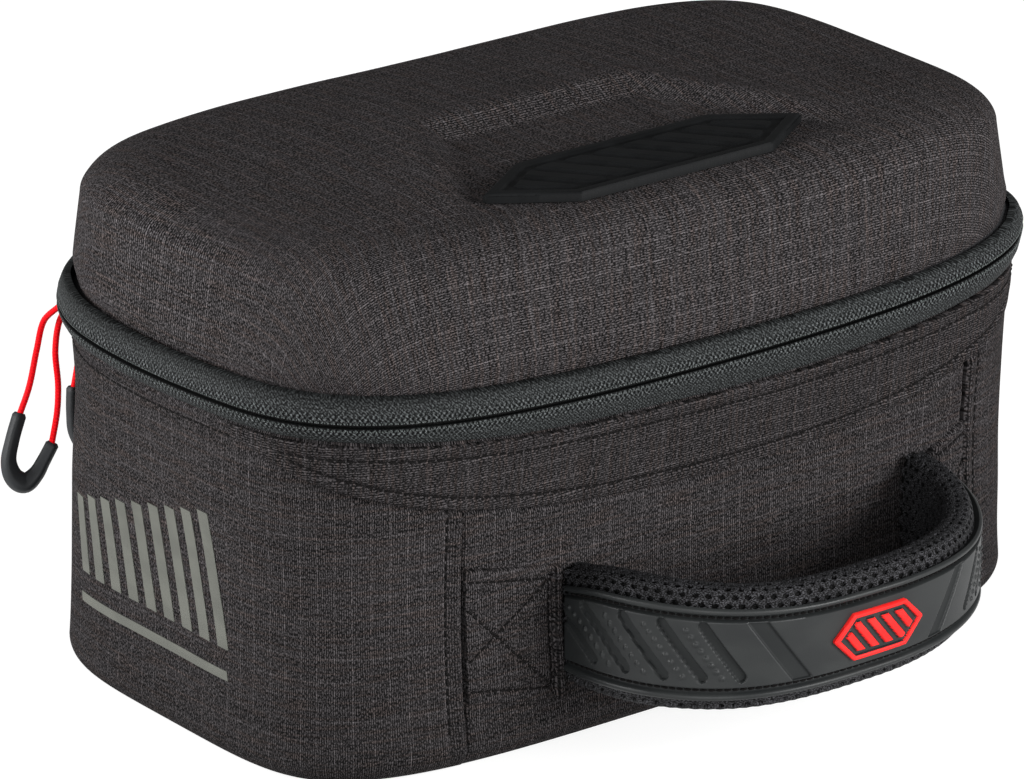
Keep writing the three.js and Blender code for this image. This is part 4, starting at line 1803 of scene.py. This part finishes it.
@dataclass
class Patch:
    """A cloth tab that holds one end of the handle, sewn with a box and a cross."""

    form: CaseForm
    finishes: Finishes
    name: str
    node: str
    left: float
    right: float
    handle_on_right: bool
    ripple: Ripple
    height: float = 43.0
    level: float = 43.2
    droop: float = 6.0
    proud: float = 1.8
    flange: float = 2.6
    flange_proud: float = 1.2
    hem: float = 4.0
    step: float = 0.42
    back_rows: int = 5
    clear: float = 0.1
    swell: Mark = Mark(0.3, 11.0)
    seam: Mark = Mark(-0.75, 0.9)
    flange_seam: Mark = Mark(-0.8, 1.1)
    flange_seam_in: float = 1.2
    edge_fall: float = 0.7
    edge_roll: float = 1.2

    @cached_property
    def runs(self) -> Pair:
        """Where the tab lies along the ridge."""
        return self.form.run_at(self.left, Side.FRONT), self.form.run_at(self.right, Side.FRONT)

    def place(self, u: Array, v: Array) -> tuple[Array, Array]:
        """Distance along the ridge and up the cloth, from shares across and up the tab."""
        run = self.runs[0] + (self.runs[1] - self.runs[0]) * u
        down = self.droop * (u if self.handle_on_right else 1 - u)
        return run, self.form.climb_at(self.level - down + self.height * (v - 0.5))

    def lines_on(self) -> list[tuple[Pair, Pair]]:
        """The rows of stitches as shares across and up the tab."""
        wide = self.runs[1] - self.runs[0]
        a, b = self.hem / wide, self.hem / self.height
        far, near = (a * 0.2, 1 - (self.flange + 1.3) / wide)
        if not self.handle_on_right:
            far, near = 1 - far, 1 - near
        return [
            ((far, b), (near, b)), ((far, 1 - b), (near, 1 - b)), ((near, b), (near, 1 - b)),
            ((far, 0.3), (near, 1 - b)), ((far, 0.7), (near, b)),
        ]

    def relief(self, u: Array, v: Array) -> Array:
        """How far the tab stands proud of the front panel's face.

        Args:
            u: Share across the tab.
            v: Share up the tab.

        Returns:
            The height over the face.
        """
        u, v = np.broadcast_arrays(u, v)
        wide = self.runs[1] - self.runs[0]
        across, up = u * wide, v * self.height
        handle = wide - across if self.handle_on_right else across
        proud = self.proud + self.ripple.swell(across, up, self.swell)
        for (u0, v0), (u1, v1) in self.lines_on():
            start = np.array([u0 * wide, v0 * self.height])
            along = np.array([u1 * wide, v1 * self.height]) - start
            dx, dy = across - start[0], up - start[1]
            share = np.clip((dx * along[0] + dy * along[1]) / (along @ along), 0.0, 1.0)
            away = np.hypot(dx - share * along[0], dy - share * along[1])
            proud = proud + self.seam.at(away)
        proud = proud + self.flange_proud * (1 - smooth(handle, self.flange - 0.5, self.flange + 0.1))
        proud = proud + self.flange_seam.at(handle - self.flange - self.flange_seam_in)
        for edge in (np.minimum(up, self.height - up), np.minimum(across, wide - across)):
            proud = proud - self.edge_fall * roll(edge, self.edge_roll)
        return proud - self.form.seam_fold

    def face(self, u: Array, v: Array) -> Array:
        """Points of the tab's outer face."""
        return self.form.wall(*self.place(u, v), self.relief(u, v))

    def build(self) -> None:
        """Makes the tab."""
        wide = self.runs[1] - self.runs[0]
        u = np.linspace(0.0, 1.0, round(wide / self.step))[None, :]
        v = shares(round(self.height / self.step))
        mesh = PieceMesh()
        outer, under = self.place(u, v), self.place(u, shares(self.back_rows))
        inner = self.form.wall(*under, np.array(self.clear - self.form.seam_fold))
        mesh.solid(self.face(u, v), inner, weave_of(*outer), weave_of(*under))
        made = mesh.build(self.name, self.finishes.cloth)
        self.height * MM
        fit(made, Body.BASE, "cloth", self.node)

    def lines(self) -> list[Line]:
        """The rows of stitches on the tab."""
        rows = []
        for (u0, v0), (u1, v1) in self.lines_on():
            share = np.linspace(0.0, 1.0, 80)
            u, v = u0 + (u1 - u0) * share, v0 + (v1 - v0) * share
            rows.append(Line(self.face(u, v), self.form.outward(self.place(u, v)[0])))
        return rows


@dataclass
class Handle:
    """The padded net handle with its rubber grip, its badge and the two tabs."""

    case: CaseForm
    form: HandleForm
    finishes: Finishes
    section_power: float = 4.0
    net_depth: float = 0.75
    net_pitch: Pair = (4.1, 2.7)
    hole: float = 0.29
    hole_depths: Pair = (0.14, 0.8)
    grip_height: float = 27.0
    grip_start: float = 0.014
    grip_face: float = 1.9
    grip_under: float = -0.7
    rim: float = 2.0
    rim_sunk: float = 0.7
    channel: float = 1.8
    middle: float = 110.0
    lean: float = 0.754
    slots: tuple[float, ...] = (50.0, 61.8, 74.0, 88.0, 102.5)
    slot_radius: float = 1.45
    slot_half: float = 8.0
    slot_depth: float = 1.1
    dots: tuple[float, ...] = (55.9, 68.0, 81.0, 95.2)
    dot_count: int = 8
    dot_span: float = 13.4
    dot_height: float = 0.55
    dot_radius: float = 0.8
    band: Pair = (29.5, 36.3)
    band_depth: float = 0.8
    channel_depth: float = 1.5
    lean_growth: Pair = (0.004, 0.00018)
    grip_grid: tuple[int, int] = (96, 740)
    front_span: Pair = (-80.0, 108.0)
    tab_clear: float = 0.9
    tab_stitch: Stitch = Stitch(pitch=2.7, length=2.1)
    stitch: Stitch = Stitch(pitch=2.4, length=2.1, radius=0.42, arch=0.3, sink=0.0)

    def __post_init__(self) -> None:
        """Places the tabs at the handle's roots."""
        case, clear = self.case, self.tab_clear
        left, right = self.form.centre - self.form.half, self.form.centre + self.form.half
        spans = ((case.seam_left + clear, left - clear), (right + 2 * clear, case.seam_right - clear))
        self.tabs = (
            Patch(case, self.finishes, "tab_left", "patch_left", *spans[0], True, Ripple(21)),
            Patch(case, self.finishes, "tab_right", "patch_right", *spans[1], False, Ripple(22)),
        )

    @cached_property
    def girth(self) -> tuple[Array, Array, Array]:
        """Distance round the pad's section, with out and up there."""
        angle = np.linspace(0.0, TURN, 4001)
        half = self.form.thickness / 2
        out = half * signed_power(np.cos(angle), 2 / self.section_power) - half
        up = self.form.height / 2 * signed_power(np.sin(angle), 2 / self.section_power)
        return flat_run(out, up), out, up

    def pad(self, run: Array, round_it: Array, depth: float) -> Array:
        """Points of the pad's surface.

        Args:
            run: Distance along the handle.
            round_it: Distance round the section.
            depth: How far under the net's face.

        Returns:
            The points, held off the front wall at the roots.
        """
        run, round_it = np.broadcast_arrays(run, round_it)
        length, out, up = self.girth
        at = np.mod(round_it, length[-1])
        half = self.form.thickness / 2
        shrink_out, shrink_up = 1 - depth / half, 1 - depth / (self.form.height / 2)
        out = (np.interp(at, length, out) + half) * shrink_out - half
        points = self.form.at(run, out, np.interp(at, length, up) * shrink_up)
        wall = self.front_y(points[..., 0], points[..., 2]) - self.case.gap
        points[..., 1] = np.minimum(points[..., 1], wall)
        return points

    def front_y(self, x: Array, z: Array) -> Array:
        """Where the front wall's face is, at an x and a height."""
        at = np.linspace(*self.front_span, 200)
        runs = np.array([self.case.run_at(float(value), Side.FRONT) for value in at])
        run = np.interp(x, at, runs)
        return self.case.wall(run, self.case.climb_at(z), np.array(-self.case.seam_fold))[..., 1]

    def build(self) -> None:
        """Makes the tabs, the pad, the grip and the badge."""
        for tab in self.tabs:
            tab.build()
        lines = [line for tab in self.tabs for line in tab.lines()]
        self.tab_stitch.sew("tab_stitches", lines, self.finishes.thread)
        self.build_core()
        self.build_net()
        self.build_grip()
        self.build_badge()

    def build_core(self) -> None:
        """Makes the dark padding under the net."""
        run = np.linspace(0.0, self.form.length, 120)[:, None]
        whole = self.girth[0][-1]
        round_it = np.arange(49)[None, :] * whole / 48
        mesh = PieceMesh()
        mesh.tube(self.pad(run, round_it[:, :-1], self.net_depth), weave_of(run, round_it))
        made = mesh.build("handle_core", self.finishes.core)
        fit(made, Body.BASE, "spacer_mesh", "handle_pad")

    def build_net(self) -> None:
        """Makes the knitted net: six-sided cells, each with a hole down to the padding."""
        whole = self.girth[0][-1]
        rows = 2 * round(whole / self.net_pitch[1] / 2)
        high = whole / rows
        columns = round(self.form.length / self.net_pitch[0] - 0.5)
        wide = self.form.length / (columns + 0.5)
        column, row = np.meshgrid(np.arange(columns), np.arange(rows))
        run = (column + 0.5 + 0.5 * (row % 2)) * wide
        round_it = row * high
        kept = ~self.under_grip(run, round_it)
        run, round_it = run[kept], round_it[kept]
        corner = np.array([[0.5, 1 / 3], [0.0, 2 / 3], [-0.5, 1 / 3]])
        corner = np.concatenate([corner, -corner])
        turn = np.arctan2(corner[:, 1] * high, corner[:, 0] * wide)
        edge = np.stack([run[:, None] + corner[:, 0] * wide, round_it[:, None] + corner[:, 1] * high], -1)
        rim = np.stack([run[:, None] + self.hole * wide * np.cos(turn),
                        round_it[:, None] + self.hole * 1.15 * high * np.sin(turn)], -1)
        key = np.stack([edge[..., 0] / wide * 6, np.mod(edge[..., 1] / high * 6, rows * 6)], -1)
        key = np.round(key).astype(int).reshape(-1, 2)
        _, first, number = np.unique(key, axis=0, return_index=True, return_inverse=True)
        number = number.reshape(-1, 6)
        shared = edge.reshape(-1, 2)[first]
        mesh = PieceMesh()
        mesh.add_points(self.pad(shared[:, 0], shared[:, 1], 0.0))
        top, deep = (
            mesh.add_points(self.pad(rim[..., 0], rim[..., 1], depth)) for depth in self.hole_depths)
        for a, b, pa, pb in ((number, top, edge, rim), (top, deep, rim, rim)):
            corners = np.stack([a, np.roll(a, -1, 1), np.roll(b, -1, 1), b], -1).reshape(-1, 4)
            places = np.stack([pa, np.roll(pa, -1, 1), np.roll(pb, -1, 1), pb], 2).reshape(-1, 4, 2)
            mesh.add_faces(corners, places)
        made = mesh.build("handle_net", self.finishes.net)
        fit(made, Body.BASE, "spacer_mesh")

    def under_grip(self, run: Array, round_it: Array) -> Array:
        """Finds the places on the net that the grip hides.

        Args:
            run: Distance along the handle.
            round_it: Distance round the section.

        Returns:
            True for each hidden place.
        """
        length, out, up = self.girth
        outer = np.interp(round_it, length, out) > -0.4 * self.form.thickness
        level = np.abs(np.interp(round_it, length, up)) < self.grip_height / 2 - 3.0
        start = self.grip_start * self.form.length + 3.0
        return outer & level & (run > start) & (run < self.form.length - start)

    def lean_at(self, away: float) -> float:
        """How far the moulded marks lean, which grows towards the roots."""
        past = away - self.slots[0]
        return self.lean + self.lean_growth[0] * past + self.lean_growth[1] * past * past

    def grip_relief(self, run: Array, up: Array) -> Array:
        """How far the grip's face stands out from the pad's outer face.

        Args:
            run: Distance along the handle.
            up: Height from the handle's middle.

        Returns:
            The distance out.
        """
        run, up = np.broadcast_arrays(run, up)
        half = self.grip_height / 2
        side = np.abs(up)
        radius = self.rim / 2
        bead = np.sqrt(np.maximum(0.0, radius ** 2 - (side - half + radius) ** 2))
        face = np.where(side > half - self.rim, self.grip_face - self.rim_sunk + bead, self.grip_face)
        channel = smooth(half - self.rim - side, 0.0, 0.35)
        channel = channel * smooth(side - half + self.rim + self.channel, 0.0, 0.35)
        face = face - self.channel_depth * channel
        away = np.abs(run - self.middle)
        for slot in self.slots:
            lean = self.lean_at(slot)
            share = (up + lean * (away - slot)) / (1 + lean * lean)
            share = np.clip(share, -self.slot_half + 1.4, self.slot_half)
            gap = np.hypot(away - slot - lean * share, up - share)
            edge = smooth(gap, self.slot_radius - 0.1, self.slot_radius + 0.2)
            face = face - self.slot_depth * (1 - edge)
        step, last = self.dot_span / (self.dot_count - 1), self.dot_count / 2 - 0.5
        nearest = np.clip(np.floor(up / step) + 0.5, -last, last) * step
        for row in self.dots:
            gap = np.hypot(away - row - self.lean_at(row) * nearest, up - nearest)
            face = face + self.dot_height * np.sqrt(np.maximum(0.0, 1 - (gap / self.dot_radius) ** 2))
        slant = away - self.lean * up
        low, high = self.band
        wide = smooth(slant, low, low + 0.5) * smooth(-slant, -high, 0.5 - high)
        face = face - self.band_depth * wide * smooth(half - self.rim - self.channel - side, 0.0, 0.5)
        start = self.grip_start * self.form.length
        end = np.minimum(run - start, self.form.length - start - run)
        return face - 1.4 * roll(end, 1.2)

    def build_grip(self) -> None:
        """Makes the rubber grip and the stitches inside its rims."""
        start = self.grip_start * self.form.length
        rows, columns = self.grip_grid
        run = np.linspace(start, self.form.length - start, columns)[None, :]
        up = np.linspace(-0.5, 0.5, rows)[:, None] * self.grip_height
        mesh = PieceMesh()
        back = up[ENDS] * (1 - 1.3 * self.rim / self.grip_height)
        face = self.grip_relief(run, up)
        # Cells sunk below the face take the darker rubber, which is painted shade in the recesses.
        sunk = (face[:-1, :-1] + face[1:, 1:] < 2 * self.grip_face - 0.7).astype(int)
        sunk[np.abs(up[1:, 0]) > self.grip_height / 2 - self.rim + 0.3] = 0
        mesh.solid(self.form.at(run, face, up), self.form.at(run, self.grip_under, back),
                   weave_of(run, up), weave_of(run, back), outer_finish=sunk)
        made = mesh.build("grip_cover", self.finishes.rubber, self.finishes.recess_shade_rubber)
        fit(made, Body.BASE, "grip_rubber", "handle_grip")
        lines = []
        at = np.linspace(start + 2.0, self.form.length - start - 2.0, 900)
        for sign in (-1, 1):
            level = np.full_like(at, sign * (self.grip_height / 2 - self.rim - self.channel / 2))
            points = self.form.at(at, self.grip_relief(at, level), level)
            lines.append(Line(points, self.form.outward(at)))
        self.stitch.sew("grip_stitches", lines, self.finishes.thread)

    def build_badge(self) -> None:
        """Makes the red badge: a plain long hexagon bent along the grip."""
        plate = HexPlate(half=17.0, shoulder=10.0, depth=15.0, thickness=1.4, rib=0.36, sunk=0.75)
        x, y, height, sunk = plate.relief(0.28)
        run = x + self.form.length / 2
        low = self.grip_face + 0.02
        mesh = PieceMesh()
        mesh.solid(self.form.at(run, low + height, y), self.form.at(run[ENDS], low - 0.3, y[ENDS]),
                   weave_of(x, y), weave_of(x, y)[ENDS], outer_finish=sunk)
        made = mesh.build("grip_plate", self.finishes.red, self.finishes.rubber)
        fit(made, Body.BASE, "red_rubber", "grip_badge")


# Zip pulls
def flowing(points: Sequence[Sequence[float]], count: int) -> Array:
    """A smooth curve through points, spaced by the root of their distance.

    Args:
        points: Points in order.
        count: Points wanted between each pair.

    Returns:
        Points along the curve.
    """
    given = np.array(points, float)
    padded = np.concatenate([2 * given[:1] - given[1:2], given, 2 * given[-1:] - given[-2:-1]])
    curve = []
    for p0, p1, p2, p3 in zip(padded, padded[1:], padded[2:], padded[3:]):
        steps = [math.sqrt(max(np.linalg.norm(b - a), 1e-6)) for a, b in ((p0, p1), (p1, p2), (p2, p3))]
        knot = np.cumsum([0.0, *steps])
        t = np.linspace(knot[1], knot[2], count, endpoint=False)[:, None]
        level = [p0, p1, p2, p3]
        for spans in (((0, 1), (1, 2), (2, 3)), ((0, 2), (1, 3)), ((1, 2),)):
            level = [(knot[b] - t) / (knot[b] - knot[a]) * low + (t - knot[a]) / (knot[b] - knot[a]) * high
                     for (a, b), low, high in zip(spans, level, level[1:])]
        curve.append(level[0])
    return np.concatenate([*curve, given[-1:]])


def frames_along(path: Array) -> tuple[Array, Array]:
    """Two directions across a path that turn as little as they can.

    Args:
        path: Points along the path.

    Returns:
        The first and the second direction at each point.
    """
    along = unit(np.gradient(path, axis=0))
    side = unit(np.cross(along[0], [0.0, 1.0, 0.0]))
    sides = []
    for direction in along:
        side = unit(side - direction * (side @ direction))
        sides.append(side)
    first = np.array(sides)
    return first, np.cross(along, first)


@dataclass
class ZipPull:
    """One zip slider with its cord loop and moulded end."""

    case: CaseForm
    finishes: Finishes
    suffix: str
    slider_x: float
    shift: Place
    lean: float
    rise: Sequence[Sequence[float]]
    fall: Sequence[Sequence[float]]
    cord: float = 2.0
    end: float = 4.6
    legs: Sequence[Sequence[float]] = (
        (-133.5, 92, 72.3), (-137, 91.5, 64), (-138.8, 91, 57.5), (-137.6, 90, 52.4), (-134.8, 88.5, 50.2),
        (-131.6, 87, 52.8), (-129.3, 85.5, 57.5), (-126.4, 84.5, 63),
    )
    bend: Sequence[Sequence[float]] = ((1.6, 0.0), (2.9, 0.9), (3.2, 3.4))
    plate: Place = (9.0, 1.6, 8.8)
    drop: float = 4.6
    bridge_out: float = 2.3
    eye_drop: float = 1.4
    eye: float = 1.6
    lean_level: float = 57.5
    cord_sunk: float = 1.2
    cord_step: float = 0.28
    cord_sides: int = 16
    strands: int = 4
    lay: float = 2.2

    def place(self) -> tuple[Array, Array, Array, Array]:
        """The slider's seat and eye, and the directions along the zip and outward."""
        run = np.array(self.case.run_at(self.slider_x, Side.BACK))
        out = self.case.outward(run)
        along = np.array([-out[1], out[0], 0.0])
        seat = self.case.inward(run, np.array(-2 * self.case.gap), self.case.zip_height(run) - self.drop)
        return seat, seat + out * self.bridge_out - [0.0, 0.0, self.eye_drop], along, out

    def leg_points(self) -> Array:
        """The moulded end's middle line."""
        legs = np.array(self.legs, float)
        legs[:, 0] += self.lean * (legs[:, 2] - self.lean_level)
        return legs + self.shift

    def route(self) -> Array:
        """The cord's middle line: up from one leg, through the eye and down to the other."""
        _, eye, along, _ = self.place()
        legs = self.leg_points()
        tips = (legs[0], legs[1]), (legs[-1], legs[-2])
        start, end = (top - unit(top - below) * self.cord_sunk for top, below in tips)
        near, far = ([eye + along * sign * a - [0.0, 0.0, d] for a, d in self.bend] for sign in (1, -1))
        return flowing([start, *self.rise, *near[::-1], eye, *far, *self.fall, end], 24)

    def build(self) -> None:
        """Makes the slider, the cord and the moulded end."""
        self.build_slider()
        self.build_cord(self.build_end())

    def build_slider(self) -> None:
        """Makes the slider: a rounded plate with a bridge for the cord."""
        seat, _, along, out = self.place()
        mesh = PieceMesh()
        wide, deep, high = self.plate
        turn = np.arange(48) * TURN / 48
        outline = np.stack([wide / 2 * signed_power(np.cos(turn), 0.5),
                            high / 2 * signed_power(np.sin(turn), 0.5)], 1)
        levels = ((0.0, 0.96), (0.25, 1.0), (deep - 0.5, 1.0), (deep - 0.15, 0.95), (deep, 0.86))
        up = np.array([0.0, 0.0, 1.0])
        rings = np.array([
            seat + along * (outline[:, :1] * scale) + up * (outline[:, 1:] * scale) + out * level
            for level, scale in levels])
        weave = weave_of(np.array([level for level, _ in levels])[:, None], np.arange(49)[None, :] * 0.6)
        mesh.tube(rings, weave)
        bow = np.linspace(-0.5, 0.5, 24) * math.pi
        radius = self.eye + 0.55
        inner = seat - up * self.eye_drop
        reach = self.bridge_out
        path = [inner + out * (deep * 0.6) - up * radius]
        path += [inner + out * (reach + radius * math.cos(a)) + up * radius * math.sin(a) for a in bow]
        path += [inner + out * (deep * 0.6) + up * radius]
        path = np.array(path)
        side = np.broadcast_to(along, path.shape)
        across = np.cross(unit(np.gradient(path, axis=0)), side)
        ring = np.arange(12) * TURN / 12
        bar = (path[:, None] + side[:, None] * (1.45 * signed_power(np.cos(ring), 0.6))[None, :, None]
               + across[:, None] * (0.5 * signed_power(np.sin(ring), 0.6))[None, :, None])
        mesh.tube(bar, weave_of(np.arange(len(path))[:, None] * 0.4, np.arange(13)[None, :] * 0.4))
        made = mesh.build(f"slider_body_{self.suffix}", self.finishes.metal)
        fit(made, Body.BASE, "slider_metal", f"slider_{self.suffix}")

    def build_end(self) -> Object:
        """Makes the moulded end: two slim legs that thicken to a web at the bottom."""
        path = flowing(self.leg_points(), 10)
        first, second = frames_along(path)
        share = np.linspace(0.0, 1.0, len(path))
        tips = roll(np.minimum(share, 1 - share) * 60.0, 0.5)
        web = np.exp(-(((share - 0.53) / 0.2) ** 2))
        radius = (self.end / 2 * (0.86 + 0.5 * web) - tips)[:, None, None]
        turn = np.arange(32) * TURN / 32
        ring = (first[:, None] * signed_power(np.cos(turn), 0.62)[None, :, None]
                + second[:, None] * signed_power(np.sin(turn), 0.62)[None, :, None])
        mesh = PieceMesh()
        weave = weave_of(run_along(path)[:, None], np.arange(33)[None, :] * 0.45)
        mesh.tube(path[:, None] + ring * radius, weave)
        made = mesh.build(f"pull_end_{self.suffix}", self.finishes.plastic)
        return fit(made, Body.BASE, "pull_plastic", f"pull_{self.suffix}")

    def build_cord(self, end: Object) -> None:
        """Makes the braided cord loop.

        Args:
            end: The moulded end that holds both of the cord's ends; not used.
        """
        path = self.route()
        run = run_along(path)
        at = np.linspace(0.0, run[-1], round(run[-1] / self.cord_step))
        path = read_along(at, run, path)
        first, second = frames_along(path)
        sides = self.cord_sides
        turn = np.arange(sides) * TURN / sides
        phase, strand = at[:, None] * TURN / self.lay, turn * self.strands
        cross = np.sin(phase + strand) * np.sin(phase - strand)
        radius = (self.cord / 2 * (0.98 + 0.035 * cross))[..., None]
        rings = path[:, None] + radius * (
            first[:, None] * np.cos(turn)[None, :, None] + second[:, None] * np.sin(turn)[None, :, None])
        mesh = PieceMesh()
        mesh.tube(rings, weave_of(at[:, None], np.arange(sides + 1)[None, :] / sides))
        made = mesh.build(f"pull_cord_{self.suffix}", self.finishes.braid)
        fit(made, Body.BASE, "red_cord", f"cord_{self.suffix}")


# Studio
@dataclass(frozen=True)
class SoftBox:
    """One soft light, placed in metres, with its width and its power in watts."""

    name: str
    place: Place
    size: float
    power: float
    aim: Place = (0.0, 0.0, 0.08)

    def hang(self) -> None:
        """Adds the light to the scene."""
        data = bpy.data.lights.new(self.name, "AREA")
        data.shape, data.size, data.energy = "SQUARE", self.size, self.power
        light = bpy.data.objects.new(self.name, data)
        light.location = self.place
        light.rotation_euler = (Vector(self.aim) - Vector(self.place)).to_track_quat("-Z", "Y").to_euler()
        bpy.context.scene.collection.objects.link(light)


@dataclass(frozen=True)
class Studio:
    """The camera, the pale floor and the soft lights."""

    azimuth: float = -37.54
    elevation: float = 21.236
    distance: float = 2400.0
    target: Place = (-11.016, 0.0, 79.461)
    lens: float = 271.165
    sensor: float = 36.0
    floor_half: float = 6000.0
    floor_level: float = -0.2
    sky: float = 0.22
    boxes: tuple[SoftBox, ...] = (
        SoftBox("fill_box", (-1.15, -1.35, 0.45), 0.9, 20.0),
        SoftBox("left_box", (-1.5, 0.85, 0.5), 1.0, 47.0),
        SoftBox("front_box", (0.75, -1.7, 0.64), 0.9, 49.0, (0.0, 0.0, 0.06)),
    )

    def build(self) -> None:
        """Sets up the studio."""
        self.build_camera()
        self.build_floor()
        self.build_lights()

    def build_camera(self) -> None:
        """Places the camera at the photograph's viewing angle."""
        az, el = math.radians(self.azimuth), math.radians(self.elevation)
        back = Vector((math.sin(az) * math.cos(el), -math.cos(az) * math.cos(el), math.sin(el)))
        right = Vector((math.cos(az), math.sin(az), 0.0))
        data = bpy.data.cameras.new("camera")
        data.lens, data.sensor_width = self.lens, self.sensor
        data.clip_start, data.clip_end = 0.05, 60.0
        camera = bpy.data.objects.new("camera", data)
        axes = Matrix((right, back.cross(right), back)).transposed().to_4x4()
        place = (Vector(self.target) + back * self.distance) * MM
        camera.matrix_world = Matrix.Translation(place) @ axes
        bpy.context.scene.collection.objects.link(camera)
        bpy.context.scene.camera = camera

    def build_floor(self) -> None:
        """Makes the floor."""
        reach = (-self.floor_half, self.floor_half)
        points = np.array([[[x, y, self.floor_level] for x in reach] for y in reach])
        mesh = PieceMesh()
        mesh.grid(points, points[..., :2])
        floor = mesh.build("floor", StudioPaper().material())
        floor.visible_diffuse = False

    def build_lights(self) -> None:
        """Hangs the soft boxes and sets the even surrounding light."""
        scene = bpy.context.scene
        scene.view_settings.view_transform = "Standard"
        world = bpy.data.worlds.new("studio")
        world.use_nodes = True
        backdrop = world.node_tree.nodes["Background"]
        backdrop.inputs["Color"].default_value = (1.0, 1.0, 1.0, 1.0)
        backdrop.inputs["Strength"].default_value = self.sky
        scene.world = world
        for box in self.boxes:
            box.hang()


def main() -> None:
    """Builds the case and its studio in order."""
    logging.basicConfig(level=logging.INFO, format="%(name)s: %(message)s")
    form = CaseForm()
    finishes = Finishes()
    Studio().build()
    pulls = (
        ZipPull(form, finishes, "front", slider_x=-121.0, shift=(0.0, 0.0, 0.0), lean=0.0,
                rise=((-129.9, 92, 80), (-127, 91.5, 92), (-125.8, 89, 102)),
                fall=((-121.6, 86.4, 102), (-124, 85.6, 93), (-123.8, 84.8, 81.5), (-124.6, 84.5, 73))),
        ZipPull(form, finishes, "back", slider_x=-107.0, shift=(28.8, 5.0, 1.8), lean=-0.35,
                rise=((-107.6, 97, 84), (-107.8, 96, 95), (-109.6, 92.5, 106)),
                fall=((-103.5, 91, 104), (-102.5, 91, 92), (-101.5, 90, 78))),
    )
    for pull in pulls:
        pull.build()
    ClothBase(form, finishes).build()
    Zip(form, finishes).build()
    MouldedLid(form, finishes, Ripple(31)).build()
    Handle(form, HandleForm(), finishes).build()


if __name__ == "__main__":
    main()
